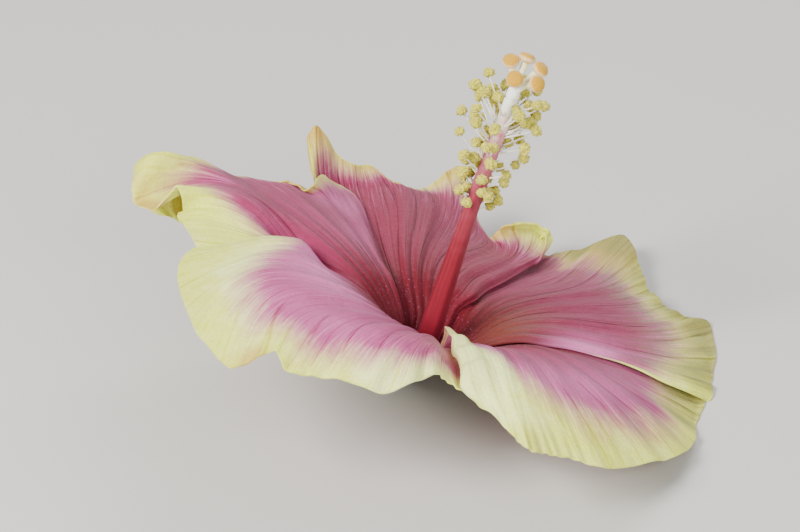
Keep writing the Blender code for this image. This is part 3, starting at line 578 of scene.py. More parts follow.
def lobed_cup(profile, lobes, notch, across, sharpness, rows_along):
    """A cup's wall as a closed grid, its profile cut back to the notch between pointed lobes."""
    profile = np.array(profile)
    place = np.linspace(0, 1, len(profile))
    phase = np.tile(across, lobes)
    middle = np.repeat(np.arange(lobes), len(across)) * 360.0 / lobes + FIRST_LOBE
    angle = middle + phase * 180.0 / lobes
    length = notch + (1 - notch) * np.maximum(1 - np.abs(phase) ** sharpness, 0)
    rows = np.linspace(0, 1, rows_along)[:, None] * length[None]
    spot = spline(place, profile, rows.reshape(-1)).reshape(*rows.shape, 2)
    return slant(polar(np.tile(angle, (rows_along, 1)), spot[..., 0], spot[..., 1]))


def stem_way():
    """The middle of the lying stem from its cut end up to the receptacle."""
    lying = (np.array(STEM_WAY) - [0.0, 0.0, THROAT_HEIGHT]) @ LEAN.T
    return np.append(lying, [slant(upright(RECEPTACLE[0][0]))], axis=0)


def stem_rings(way, profile, sides):
    """Rings along the stem and on up the receptacle, flat where they meet the surface."""
    radii = [STEM_RADIUS] * len(way)
    stem = rings_along(way, radii, radii, sides)[:-1]
    receptacle = turned_rings(profile, sides, upright, SLANT_TOWARDS + 90)
    return on_surface(np.array(stem + receptacle), FLAT_SPOT)


def stem_grid(steps, sides):
    """A finer stem with a closed cut end and a closed top."""
    way = stem_way()
    way = spline(np.linspace(0, 1, len(way)), way, np.linspace(0, 1, steps))
    rings = stem_rings(way, smooth_profile(RECEPTACLE, RECEPTACLE_RINGS), sides)
    ends = []
    for ring, inward in ((rings[0], rings[1]), (rings[-1], rings[-2])):
        middle = ring.mean(axis=0)
        step = (inward - ring).mean(axis=0)
        step /= np.linalg.norm(step)
        ends.append([middle + (ring - middle) * size + step * deep for size, deep in END_FACE])
    grid = np.concatenate([ends[0], rings, ends[1][::-1]])
    return np.concatenate([grid, grid[:, :1]], axis=1)


def set_down():
    """From where a point would lie with the throat over the origin to where its solid lies, in metres."""
    own = stem_rings(stem_way(), RECEPTACLE, STEM_SIDES) @ LEAN * MM
    shift = np.array(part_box("stem")[0]) - own.reshape(-1, 3).min(axis=0)
    return np.array([shift[0], shift[1], 0.0])


SET_DOWN = set_down()


def hex_colour(code):
    """A colour given as an sRGB hex value, turned to linear."""
    values = [int(code[i:i + 2], 16) / 255 for i in (0, 2, 4)]
    return [v / 12.92 if v <= 0.04045 else ((v + 0.055) / 1.055) ** 2.4 for v in values]


def size_property(name, description, default):
    """A length, given here in millimetres."""
    return bpy.props.FloatProperty(name=name, description=description, default=default * MM, min=0.0,
                                   subtype="DISTANCE", unit="LENGTH", precision=5)


def colour_property(name, description, code):
    return bpy.props.FloatVectorProperty(name=name, description=description, default=hex_colour(code),
                                         min=0.0, max=1.0, size=3, subtype="COLOR")


class BloomSizes(bpy.types.PropertyGroup):
    """The sizes that can be changed without moving a piece off its solid."""
    petal_thickness: size_property("Petal thickness", "Thickness of every petal's blade", 0.45)
    ruffle_height: size_property("Ruffle height", "How far the petals' margins wave", 0.42)
    vein_relief: size_property("Vein relief", "How far the main veins stand out", 0.1)
    filament_thickness: size_property("Filament thickness", "Thickness of a stamen's stalk at its root", 0.5)
    anther_length: size_property("Anther length", "Length of one anther", 3.0)
    sepal_thickness: size_property("Sepal thickness", "Thickness of the calyx and the epicalyx", 0.55)


class BloomColours(bpy.types.PropertyGroup):
    """The bloom's colours."""
    throat: colour_property("Throat", "Deep crimson of the petals' throat", "6A1020")
    rose: colour_property("Rose", "Pink of the back and right petals", "84283F")
    lilac: colour_property("Lilac", "Bluer pink of the left petals", "AA3472")
    pale_lilac: colour_property("Pale lilac", "Pale pink before the cream begins", "DC7CB2")
    cream: colour_property("Cream", "Cream of the petals' margins", "E4EA62")
    # Also the painted highlight on the front right petal's cream where it faces the light
    ivory_and_highlight: colour_property("Ivory", "Paler clouds in the cream", "F6FCA4")
    gold: colour_property("Gold", "Yellow tan of the outermost margins", "C6A04C")
    # Painted shade: the duller, darker cream where the right petals' margins lie in shadow
    painted_cream_shade: colour_property("Khaki", "Dull shade in the right petals' cream", "938E48")
    dusty: colour_property("Dusty pink", "Greyish pink before the right petal's margin", "9C7C70")
    salmon: colour_property("Salmon", "Orange pink of the front petals beside the column", "E8A698")
    # Painted shade: brown where the right petal's throat lies in shadow
    painted_throat_shade: colour_property("Olive", "Brownish shade over the right petal's throat", "6A3A1C")
    column: colour_property("Column", "Crimson of the column's foot", "7E1A2A")
    pollen: colour_property("Pollen", "Pale yellow of the anthers", "CAC432")
    stigma: colour_property("Stigma", "Orange of the stigma pads", "CC9208")
    green: colour_property("Green", "Green of calyx, epicalyx and stem", "5F7F33")


# The kinds of node that the materials use: for each, Blender's name for it, the inputs that a call fills in
# order, the output that is its result, and its settings
NODES = {
    "shader": ("BsdfPrincipled", (), 0, {}),
    "surface": ("OutputMaterial", ("Surface",), None, {}),
    "own_map": ("UVMap", (), 0, {"uv_map": "UVMap"}),
    "place": ("TexCoord", (), "Object", {}),
    "value": ("Attribute", (), "Fac", {}),
    "stretch": ("Mapping", ("Vector", "Scale"), 0, {}),
    "split": ("SeparateXYZ", ("Vector",), 0, {}),
    "noise": ("TexNoise", ("Vector", "Scale", "Detail", "Roughness"), 0, {}),
    "map_noise": ("TexNoise", ("Vector", "Scale", "Detail", "Roughness"), 0, {"noise_dimensions": "2D"}),
    "grains": ("TexVoronoi", ("Vector", "Scale"), 0, {}),
    "step": ("MapRange", ("Value", "From Min", "From Max"), 0, {"interpolation_type": "SMOOTHSTEP"}),
    "ramp": ("ValToRGB", ("Fac",), 0, {}),
    "mix": ("Mix", (0, 6, 7), 2, {"data_type": "RGBA"}),
    "darken": ("Mix", (0, 6, 7), 2, {"data_type": "RGBA", "blend_type": "MULTIPLY"}),
    "bump": ("Bump", ("Height", "Strength", "Distance"), 0, {}),
    **{operation: ("Math", (0, 1), 0, {"operation": operation.upper()})
       for operation in ("add", "subtract", "multiply", "maximum", "pingpong")},
}
# The millimetres that a piece's own map spans, across and along: a petal's, where it is widest, and the
# staminal column's
PETAL_ACROSS, PETAL_ALONG = 75.0, 75.0
COLUMN_ROUND, COLUMN_ALONG = 15.0, 77.0
# What all the soft tissue shares: it lets some light through and has a faint bloom
THIN_TISSUE = {"IOR": 1.4, "Specular IOR Level": 0.25, "Subsurface Weight": 0.2,
               "Subsurface Radius": (1.0, 0.6, 0.5), "Subsurface Scale": 1.2 * MM, "Sheen Weight": 0.05,
               "Sheen Roughness": 0.5}


def add_node(tree, kind, *values, sockets=None, **settings):
    """Adds one node of a kind in NODES and returns the socket of its result.

    The values fill its inputs in order, and sockets fills them by name. Each is a number, a colour or the
    socket that feeds the input.
    """
    name, inputs, result, fixed = NODES[kind]
    made = tree.nodes.new("ShaderNode" + name)
    for key, value in {**fixed, **settings}.items():
        setattr(made, key, value)
    for key, value in [*zip(inputs, values), *(sockets or {}).items()]:
        if isinstance(value, bpy.types.NodeSocket):
            tree.links.new(value, made.inputs[key])
        else:
            made.inputs[key].default_value = value
    return None if result is None else made.outputs[result]


def new_material(name):
    """An empty material, and what adds a node to it."""
    made = bpy.data.materials.new(name)
    made.use_nodes = True
    made.node_tree.nodes.clear()
    return made, partial(add_node, made.node_tree)


def finish_material(made, node, sockets):
    """Gives a material its shader, whose sockets are set by name."""
    node("surface", node("shader", sockets=sockets))
    return made


def colour(value):
    """A node's colour, from a hex code or from a property's three values."""
    return (*(hex_colour(value) if isinstance(value, str) else value), 1.0)


def streaked(node, across, along, detail=3.0):
    """Streaks along a piece, over its own map: so many of them across the piece, and along it."""
    place = node("stretch", node("own_map"), (across, along, 1.0))
    return node("map_noise", place, 1.0, detail, 0.6)


def mottled(node, size_mm, detail=3.0):
    """Spots through space that are about as large as the size."""
    return node("noise", node("place"), 1.0 / (size_mm * MM), detail, 0.55)


def vein_lines(node, count, start, width):
    """Fine lines that fan out along a petal from a place along it: so many of them across the petal.

    They sway a little, and break up here and there.
    """
    across, along, _ = node("split", node("own_map")).node.outputs
    sway = node("subtract", streaked(node, PETAL_ACROSS / 34.1, PETAL_ALONG / 57.7, detail=1.0), 0.5)
    swayed = node("add", node("multiply", across, float(count)), node("multiply", sway, 1.5))
    beside = node("multiply", node("pingpong", swayed, 0.5), 2.0)
    line = node("step", beside, 1.0 - width, 1.0)
    shown = node("step", along, start, start + 0.12)
    broken = node("step", streaked(node, count * 1.3, PETAL_ALONG / 18.75), 0.35, 0.6)
    return node("multiply", node("multiply", line, shown), broken)


def all_veins(node):
    """Main veins 5.8 mm apart, then the finer ones that they fork into further out, 2.8 and 1.4 mm apart."""
    main = vein_lines(node, 13, 0.12, 0.13)
    forked = node("multiply", vein_lines(node, 27, 0.3, 0.14), 0.75)
    fine = node("multiply", vein_lines(node, 55, 0.45, 0.22), 0.5)
    return node("maximum", main, node("maximum", forked, fine))


def petal_relief(node, veins):
    """The bump of a petal: sunken veins between soft pleats, over crumples of one and of four millimetres.

    Its outer part is creased along its veins.
    """
    crumple = node("multiply", mottled(node, 1.1, detail=4.0), 0.7)
    folds = node("multiply", mottled(node, 4.0, detail=2.0), 2.2)
    outer_part = node("step", node("value", attribute_name="cream"), -0.35, 0.1)
    creases = streaked(node, PETAL_ACROSS / 3.125, PETAL_ALONG / 31.25, detail=1.0)
    creases = node("multiply", creases, outer_part)
    pleats = streaked(node, PETAL_ACROSS / 1.25, PETAL_ALONG / 18.75)
    raised = node("add", node("add", crumple, pleats), folds)
    raised = node("add", raised, node("multiply", creases, 3.0))
    return node("bump", node("subtract", raised, node("multiply", veins, 0.5)), 0.45, 0.4 * MM)


def petal_face(colours):
    """Hibiscus petal, showing face: living tissue grown thin, without wax, so it is matt with a faint sheen.

    Crimson feathers out of the throat along the veins, and pink fades through a paler pink into the cream.
    """
    made, node = new_material("petal_face")
    tone = {name: colour(getattr(colours, name)) for name in BloomColours.__annotations__}
    point = {name: node("value", attribute_name=name)
             for name in ("cream", "throat", "rim", "blueness", *TINTS)}
    # Streaks 2.2 mm wide, threads 0.5 mm wide and clouds 9 mm across
    streaks = node("subtract", streaked(node, PETAL_ACROSS / 2.206, PETAL_ALONG / 41.67), 0.5)
    threads = node("subtract", streaked(node, PETAL_ACROSS / 0.5, PETAL_ALONG / 15.0, detail=2.0), 0.5)
    clouds = node("subtract", mottled(node, 9.0), 0.5)
    veins = all_veins(node)
    # The borders between the colours feather along the veins
    feather = node("add", streaks, threads)
    drift = node("add", node("multiply", feather, 0.1), node("multiply", clouds, 0.1))
    cream_at = node("add", point["cream"], drift)
    throat_at = node("add", point["throat"],
                     node("add", node("multiply", feather, 0.16), node("multiply", veins, 0.09)))
    # Pink, with pale threads where it nears the cream
    pink = node("mix", point["blueness"], tone["rose"], tone["lilac"])
    pink = node("mix", point["lilac"], pink, tone["pale_lilac"])
    pale_threads = node("multiply", node("step", threads, 0.0, 0.2), node("step", cream_at, -0.4, -0.05))
    pale = node("add", node("multiply", node("step", cream_at, -0.15, 0.02), 0.45),
                node("multiply", pale_threads, 0.34))
    pink = node("mix", pale, pink, tone["pale_lilac"])
    # The crimson throat, painted brown shade over the right petal's throat, and the right petal's greyish
    # pink
    pink = node("mix", node("step", throat_at, -0.16, 0.1), pink, tone["throat"])
    pink = node("mix", node("multiply", point["painted_throat_shade"], 0.8), pink, tone["painted_throat_shade"])
    dust = node("subtract", point["dusty"], pale_threads)
    pink = node("mix", node("step", dust, 0.0, 0.8), pink, tone["dusty"])
    # The clouded cream margin, with its painted highlight on the front right petal
    ivory_and_highlight_at = node("add", clouds, point["ivory_and_highlight"])
    margin = node("mix", node("step", ivory_and_highlight_at, -0.1, 0.5), tone["cream"], tone["ivory_and_highlight"])
    body = node("mix", node("step", cream_at, -0.1, 0.11), pink, margin)
    body = node("mix", point["salmon"], body, tone["salmon"])
    # Tan towards the rim and in patches, the one on the left petal's lip partly painted shade of its hollow,
    # and painted shade that dulls the right petals' cream
    gold_at = node("add", node("add", point["tan"], clouds), node("multiply", point["rim"], 0.22))
    gold_at = node("add", gold_at, node("multiply", streaks, 0.4))
    body = node("mix", node("multiply", node("step", gold_at, 0.2, 1.0), 0.85), body, tone["gold"])
    painted_cream_shade = node("multiply", node("add", point["painted_cream_shade"], streaks), node("step", cream_at, -0.12, 0.05))
    body = node("mix", node("step", painted_cream_shade, 0.1, 1.0), body, tone["painted_cream_shade"])
    # A vein is the petal's own colour there, only deeper
    body = node("mix", node("multiply", veins, 0.85), body, node("darken", 1.0, body, body))
    # The cells of the skin are 0.1 mm across; they are drawn at 0.5 mm so that they show
    cells = node("step", mottled(node, 0.5, detail=2.0), 0.3, 0.7)
    shaded = node("darken", 1.0, body, colour("DAD4D7"))
    body = node("mix", node("multiply", cells, 0.4), body, shaded)
    # The throat's pale hairs are 0.05 mm thick; they are drawn as specks of 0.45 mm so that they show
    hairs = node("step", mottled(node, 0.45, detail=1.0), 0.68, 0.74)
    hairy = node("multiply", hairs, node("step", point["throat"], -0.04, 0.1))
    body = node("mix", node("multiply", hairy, 0.5), body, tone["pale_lilac"])
    return finish_material(made, node, {"Base Color": body, "Normal": petal_relief(node, veins),
                                        "Roughness": 0.52, **THIN_TISSUE})


def petal_back_face(colours):
    """Hibiscus petal, hidden face: paler than the showing one, tan at its rim, with its veins faint."""
    made, node = new_material("petal_back_face")
    cream, throat, rim = [node("value", attribute_name=name) for name in ("cream", "throat", "rim")]
    streaks = node("subtract", streaked(node, PETAL_ACROSS / 1.875, PETAL_ALONG / 46.875), 0.5)
    cream_at = node("add", cream, node("multiply", streaks, 0.3))
    pink = node("mix", 0.55, colour(colours.rose), colour(colours.pale_lilac))
    pale = node("mix", 0.6, colour(colours.cream), colour(colours.ivory_and_highlight))
    body = node("mix", node("step", cream_at, -0.25, 0.1), pink, pale)
    body = node("mix", node("step", throat, 0.0, 0.3), body, pale)
    gold = node("add", node("step", cream_at, -0.1, 0.4), node("multiply", streaks, 0.8))
    body = node("mix", node("multiply", gold, 0.3), body, colour(colours.gold))
    body = node("mix", node("multiply", rim, 0.85), body, colour("B0846E"))
    veins = all_veins(node)
    body = node("mix", node("multiply", veins, 0.3), body, node("darken", 1.0, body, body))
    return finish_material(made, node, {"Base Color": body, "Normal": petal_relief(node, veins),
                                        "Roughness": 0.6, **THIN_TISSUE})


def column_skin(colours):
    """Staminal column: a smooth grown tube with a satin skin, crimson at its foot and near white on top."""
    made, node = new_material("column_skin")
    grain = node("multiply", node("subtract", mottled(node, 2.5), 0.5), 0.25)
    ramp = node("ramp", node("add", node("value", attribute_name="along"), grain))
    stops = [(0.0, colours.column), (0.35, "861F2E"), (0.6, "9A3A4A"), (0.82, "C67A86"), (0.95, "F2F0E0")]
    elements = ramp.node.color_ramp.elements
    for position, _ in stops[2:]:
        elements.new(position)
    for element, (position, value) in zip(elements, stops):
        element.position, element.color = position, colour(value)
    fibres = streaked(node, COLUMN_ROUND / 0.577, COLUMN_ALONG / 38.5, detail=2.0)
    body = node("mix", node("multiply", node("step", fibres, 0.4, 0.7), 0.3), ramp,
                node("darken", 1.0, ramp, ramp))
    return finish_material(made, node, {"Base Color": body, "Normal": node("bump", fibres, 0.3, 0.2 * MM),
                                        "Roughness": 0.42, **THIN_TISSUE})


def filament_skin():
    """Filament: a glassy white thread of plant tissue, faintly pink in places."""
    made, node = new_material("filament_skin")
    tint = node("multiply", mottled(node, 3.0), 0.5)
    body = node("mix", tint, colour("F3F0E2"), colour("E6D2C6"))
    return finish_material(made, node, {"Base Color": body, "Roughness": 0.35, **THIN_TISSUE})


def pollen_dust(colours):
    """Anther: a split sac covered in loose grains of pollen, so it is matt and rough all over."""
    made, node = new_material("pollen_dust")
    # Real grains are 0.15 mm; they are drawn at 0.3 mm so that they show
    grains = node("grains", node("place"), 1 / (0.3 * MM))
    patches = node("step", mottled(node, 1.5), 0.3, 0.7)
    body = node("mix", patches, colour(colours.pollen), colour("DAD24C"))
    body = node("mix", node("step", grains, 0.4, 0.9), body, colour("9E8C28"))
    relief = node("bump", node("subtract", 1.0, grains), 0.7, 0.2 * MM)
    return finish_material(made, node, {"Base Color": body, "Normal": relief, "Roughness": 0.85,
                                        "Sheen Weight": 0.3})


def branch_skin():
    """Style branch: waxy tissue, cream at its foot and yellow below the pad."""
    made, node = new_material("branch_skin")
    grain = node("multiply", node("subtract", mottled(node, 1.0), 0.5), 0.3)
    place = node("add", node("value", attribute_name="along"), grain)
    body = node("mix", node("step", place, 0.2, 1.0), colour("FAFAEE"), colour("ECE4AC"))
    return finish_material(made, node, {"Base Color": body, "Roughness": 0.4, **THIN_TISSUE})


def stigma_velvet(colours):
    """Stigma pad: a dense pile of tiny hairs, so it looks like velvet, paler where it turns at the rim."""
    made, node = new_material("stigma_velvet")
    # The hairs are 0.1 mm apart; their tufts are drawn at 0.25 mm so that they show
    grains = mottled(node, 0.25, detail=2.0)
    rim = node("add", node("value", attribute_name="along"),
               node("multiply", node("subtract", grains, 0.5), 0.5))
    body = node("mix", node("step", grains, 0.35, 0.65), colour(colours.stigma), colour("D2A010"))
    body = node("mix", node("multiply", node("step", rim, 0.35, 0.75), 0.9), body, colour("F0CC98"))
    return finish_material(made, node, {"Base Color": body, "Normal": node("bump", grains, 0.8, 0.3 * MM),
                                        "Roughness": 0.8, "Sheen Weight": 0.6, "Sheen Roughness": 0.3})


def leafy_green(name, colours, rib_tint):
    """Calyx, epicalyx and stem: green leafy tissue with fine hairs, ribbed along, with paler ribs."""
    made, node = new_material(name)
    # 30 ribs run along each: 2.1 mm apart on the calyx, 1.3 mm on the epicalyx and 0.4 mm on the stem
    ribs = streaked(node, 30.0, 1.5)
    clouds = mottled(node, 4.0)
    # The hairs are under 0.1 mm thick; they are drawn as specks of 0.35 mm so that they show
    hairs = mottled(node, 0.35, detail=2.0)
    body = node("mix", node("step", ribs, 0.4, 0.68), colour(colours.green), colour(rib_tint))
    body = node("mix", node("multiply", node("step", clouds, 0.45, 0.8), 0.4), body, colour("8C8A4A"))
    body = node("mix", node("multiply", node("step", hairs, 0.58, 0.7), 0.25), body, colour("C9CE9A"))
    relief = node("bump", node("add", ribs, node("multiply", hairs, 0.5)), 0.5, 0.25 * MM)
    return finish_material(made, node, {"Base Color": body, "Normal": relief, "Roughness": 0.58,
                                        "Sheen Weight": 0.25, "Subsurface Weight": 0.08,
                                        "Subsurface Scale": 1.0 * MM})


def refine(grid, times):
    """The grid with more points: each of its rows and columns is read as a smooth curve."""
    for axis, more in enumerate(times):
        grid = np.moveaxis(grid, axis, 0)
        knots = np.arange(len(grid), dtype=float)
        places = np.linspace(0, len(grid) - 1, (len(grid) - 1) * more + 1)
        flat = spline(knots, grid.reshape(len(grid), -1), places)
        grid = np.moveaxis(flat.reshape(len(places), *grid.shape[1:]), 0, axis)
    return grid


def world(points):
    """Leans points of the upright bloom over and sets them down where the solids lie, in metres."""
    return (points @ LEAN + [0.0, 0.0, THROAT_HEIGHT]) * MM + SET_DOWN


def deselect():
    """Leaves nothing selected, in object mode."""
    if bpy.context.mode != "OBJECT":
        bpy.ops.object.mode_set(mode="OBJECT")
    bpy.ops.object.select_all(action="DESELECT")


def join_seams(closed):
    """Merges the points of the active piece that meet. A closed one then has its faces turned outwards."""
    bpy.ops.object.mode_set(mode="EDIT")
    bpy.ops.mesh.select_all(action="SELECT")
    bpy.ops.mesh.remove_doubles(threshold=MERGE_REACH)
    if closed:
        bpy.ops.mesh.normals_make_consistent(inside=False)
    bpy.ops.object.mode_set(mode="OBJECT")


def skin(name, grid, values=None):
    """A skin through a grid of points, begun as a plain grid of faces. It is left the active piece.

    Its map runs across the grid, then along it. Values are point values, by name.
    """
    rows, columns = grid.shape[:2]
    deselect()
    bpy.ops.mesh.primitive_grid_add(x_subdivisions=columns - 1, y_subdivisions=rows - 1, size=2)
    item = bpy.context.object
    item.name = item.data.name = name
    mesh = item.data
    flat = np.empty(len(mesh.vertices) * 3)
    mesh.vertices.foreach_get("co", flat)
    flat = flat.reshape(-1, 3)
    column = np.rint((flat[:, 0] + 1) / 2 * (columns - 1)).astype(int)
    row = np.rint((flat[:, 1] + 1) / 2 * (rows - 1)).astype(int)
    mesh.vertices.foreach_set("co", world(grid[row, column]).ravel())
    for key, value in (values or {}).items():
        attribute = mesh.attributes.new(key, "FLOAT", "POINT")
        attribute.data.foreach_set("value", np.asarray(value)[row, column].astype(np.float32))
    mesh.update()
    return item


def closed_skin(name, grid, values=None):
    """A skin whose sides meet and whose ends are poles, closed up."""
    item = skin(name, grid, values)
    join_seams(closed=True)
    return item


def select_only(item):
    """Leaves one piece selected, and active."""
    deselect()
    item.select_set(True)
    bpy.context.view_layer.objects.active = item


def apply_modifier(item, kind, **settings):
    """Adds one modifier with its settings and applies it."""
    select_only(item)
    made = item.modifiers.new("shape", kind)
    for key, value in settings.items():
        setattr(made, key, value)
    bpy.ops.object.modifier_apply(modifier=made.name)


def finish_piece(item, nodes, materials):
    """Shades a piece, gives it its materials and sets it on the frame in place of its nodes."""
    select_only(item)
    bpy.ops.object.shade_smooth_by_angle(angle=np.radians(SMOOTH_ANGLE))
    item.data.materials.clear()
    for each in materials:
        item.data.materials.append(each)
    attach(item, "root")
    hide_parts(*nodes)


def joined(name, items):
    """Several pieces made one."""
    deselect()
    for item in items:
        item.select_set(True)
    bpy.context.view_layer.objects.active = items[0]
    bpy.ops.object.join()
    items[0].name = items[0].data.name = name
    return items[0]


def read_rows(rows, t):
    """The place along at each place across, from rows of the two."""
    return np.interp(t, *np.array(rows, float).T)


def petal_values(name, rows, columns, roll_rows, roll_columns):
    """What the petal's colours read at each point: distances along from where they change, and patches.

    A curled margin counts as the showing side, or as a little beyond the rim.
    """
    t = np.concatenate([-np.ones(roll_columns), np.linspace(-1, 1, columns - roll_columns)])
    s = np.concatenate([np.linspace(0, 1, rows - roll_rows), np.linspace(1, 1.05, roll_rows + 1)[1:]])
    s = s[:, None] + 0 * t[None]
    values = {
        "cream": s - read_rows(CREAM_BEGINS[name], t)[None],
        "throat": read_rows(THROAT_ENDS[name], t)[None] - s,
        "rim": ease((s - 0.9) / 0.11),
        "blueness": BLUENESS[name] * ease((s - BLUER[0]) / BLUER[1]),
        **{kind: 0 * s for kind in TINTS},
    }
    for kind, across, along, reach_across, reach_along, strength in PATCHES[name]:
        away = ((t[None] - across) / reach_across) ** 2 + ((s - along) / reach_along) ** 2
        values[kind] = np.maximum(values[kind], strength * np.exp(-away))
    return values


def petal_detail(grid, sizes, phase, drops):
    """Fine waves that grow towards the margin, over the relief of the main veins.

    A showing side that drops turns down on the petal below it. Another has small waves where it curls.
    """
    rows, columns = grid.shape[:2]
    s = np.linspace(0, 1, rows)[:, None]
    t = np.linspace(-1, 1, columns)[None]
    wave = np.sin(21 * t + 4 * np.sin(5 * t + phase) + phase) + 0.6 * np.sin(43 * t + 3 * s + 2 * phase)
    frill = np.sin(67 * t + 6 * np.sin(7 * t + 2 * phase)) * ease((s - 0.84) / 0.16)
    ruffle = sizes.ruffle_height / MM / RUFFLE_REACH * (ease((s - 0.55) / 0.45) * wave + RIM_FRILL * frill)
    sway = 0.5 * np.sin(3 * s + phase) * np.sin(2.5 * t)
    vein = np.abs(np.sin(np.pi * (MAIN_VEINS * (t + 1) / 2 + 0.3 * sway))) ** 0.5 - 0.7
    relief = sizes.vein_relief / MM * vein * ease(s / 0.3)
    if drops:
        side = -MARGIN_DROP * ease((-0.92 - t) / 0.08) * ease((s - 0.1) / 0.1)
    else:
        curled = ease((-0.6 - t) / 0.4) * ease((s - 0.3) / 0.1) * ease((0.66 - s) / 0.12)
        side = SIDE_FRILL * curled * (np.sin(43 * s + phase) + 0.2 * np.sin(95 * s))
    return grid + (ruffle + relief + side)[..., None] * upper_normals(grid)


class BLOOM_OT_petals(bpy.types.Operator):
    """Adds the five petals, each lying over the far side of the next"""
    bl_idname = "bloom.petals"
    bl_label = "Petals"

    def execute(self, context):
        sizes, colours = context.scene.bloom_sizes, context.scene.bloom_colours
        materials = [petal_face(colours), petal_back_face(colours)]
        for phase, (name, grid) in enumerate(petal_grids().items()):
            shape = PETALS[name]
            fine = petal_detail(refine(grid, REFINED), sizes, 1.7 * phase, "edge_roll" not in shape)
            fine = slant(roll_margins(fine, shape, ROLL_POINTS))
            fine = rest_on_surface(fine, sizes.petal_thickness / MM)
            roll_rows = ROLL_POINTS[0] if "rim_roll" in shape else 0
            roll_columns = ROLL_POINTS[1] if "edge_roll" in shape else 0
            values = petal_values(name, *fine.shape[:2], roll_rows, roll_columns)
            item = skin(name + "_tissue", fine, values)
            apply_modifier(item, "SOLIDIFY", thickness=sizes.petal_thickness, offset=0.0, material_offset=1,
                           use_rim=True)
            finish_piece(item, [name], materials)
        return {"FINISHED"}


def tube_grid(path, radii, sides):
    """A round skin along a path, with a pole at each end whose radius is 0."""
    rings = np.array(rings_along(np.array(path), np.array(radii), np.array(radii), sides))
    return np.concatenate([rings, rings[:, :1]], axis=1)


def column_grid(profile, sides):
    """A round skin about the column's middle line, from rows of (height, radius)."""
    rings = np.array(turned_rings(profile, sides, column_middle))
    return np.concatenate([rings, rings[:, :1]], axis=1)


def smooth_profile(profile, count):
    """More rows of (height, radius) along a smooth curve through the profile's."""
    rows = np.array(profile, float)
    places = np.linspace(0, 1, len(rows))
    return spline(places, rows, np.linspace(0, 1, count))


class BLOOM_OT_column(bpy.types.Operator):
    """Adds the staminal column, the long tube round the style"""
    bl_idname = "bloom.column"
    bl_label = "Staminal column"

    def execute(self, context):
        colours = context.scene.bloom_colours
        foot, top = COLUMN[0][0], COLUMN[-1][0]
        heights = np.linspace(foot, top, COLUMN_RINGS)
        radii = np.interp(heights, *np.array(COLUMN).T)
        # The top turns in to the opening that the style comes out of
        opening = [(top + 0.25, radii[-1] * 0.85), (top + 0.1, 0.62), (top - 1.0, 0.6), (top - 1.0, 0.0)]
        grid = column_grid([(foot, 0.0), *zip(heights, radii), *opening], COLUMN_SIDES)
        # Five shallow flutes run along it
        flutes = 0.05 * np.cos(5 * np.linspace(0, 2 * np.pi, COLUMN_SIDES + 1))
        centre = grid.mean(axis=1, keepdims=True)
        grid = centre + (grid - centre) * (1 + flutes[None, :, None] * 0.5)
        along = np.clip(grid[..., 2] / top, 0, 1)
        item = closed_skin("column_tube", grid, {"along": along})
        finish_piece(item, ["staminal_column"], [column_skin(colours)])
        return {"FINISHED"}


def stamen_places():
    """Root, bend and tip of each filament, by the same seeded rule as the solid's.

    The later ones, which the solid leaves out, are shorter and stand at random heights.
    """
    rng = np.random.default_rng(SEED)
    places = []
    for k in range(STAMENS + MORE_STAMENS):
        place = (k + 0.5) / STAMENS
        if k >= STAMENS:
            place = rng.uniform(0.12, 1.0)
        height = STAMEN_LOW + (STAMEN_HIGH - STAMEN_LOW) * place
        angle = k * np.radians(TURN_BETWEEN_STAMENS) + rng.uniform(-0.3, 0.3)
        reach = 4.3 + 6.0 * ease(place * 1.3) - 2.0 * ease(place * 2 - 1) + rng.uniform(-0.9, 0.9)
        rise = reach * (0.25 + 0.45 * place) + rng.uniform(-0.8, 0.8)
        if k >= STAMENS:
            reach *= rng.uniform(0.5, 0.85)
        wall = np.interp(height, *np.array(COLUMN).T) - 0.3
        angle += STAMENS_ASIDE * np.sin(angle + np.pi / 2)
        outward = np.array([np.cos(angle), np.sin(angle), 0.0])
        root = column_middle(height) + wall * outward
        tip = column_middle(height) + reach * outward + np.array([0.0, 0.0, rise])
        bend = 0.5 * (root + tip) + 0.08 * reach * outward
        places.append((root, bend, tip))
    return places


def curve_through(root, bend, tip, count):
    """Points of the bow from root to tip that the bend pulls towards itself."""
    u = np.linspace(0, 1, count)[:, None]
    return (1 - u) ** 2 * root + 2 * u * (1 - u) * bend + u ** 2 * tip


def anther_form(name, length):
    """One kidney-shaped anther, split along its back, lying along X with its stalk's end below it."""
    deselect()
    bpy.ops.mesh.primitive_uv_sphere_add(segments=24, ring_count=16, radius=0.5)
    item = bpy.context.object
    item.name = item.data.name = name
    for vertex in item.data.vertices:
        x, y, z = vertex.co * 2
        swell = 1 + 0.16 * np.sin(8 * x + 5 * y) + 0.14 * np.sin(9 * z - 7 * y)
        swell += 0.08 * np.sin(17 * y + 5 * x)
        split = 1 - 0.35 * np.exp(-(y / 0.22) ** 2) * max(z, 0.0)
        arch = 0.3 * (1 - x * x) - 0.15
        vertex.co = Vector((0.5 * x * swell, 0.42 * y * swell, 0.4 * z * swell * split + 0.5 * arch)) * length
    return item


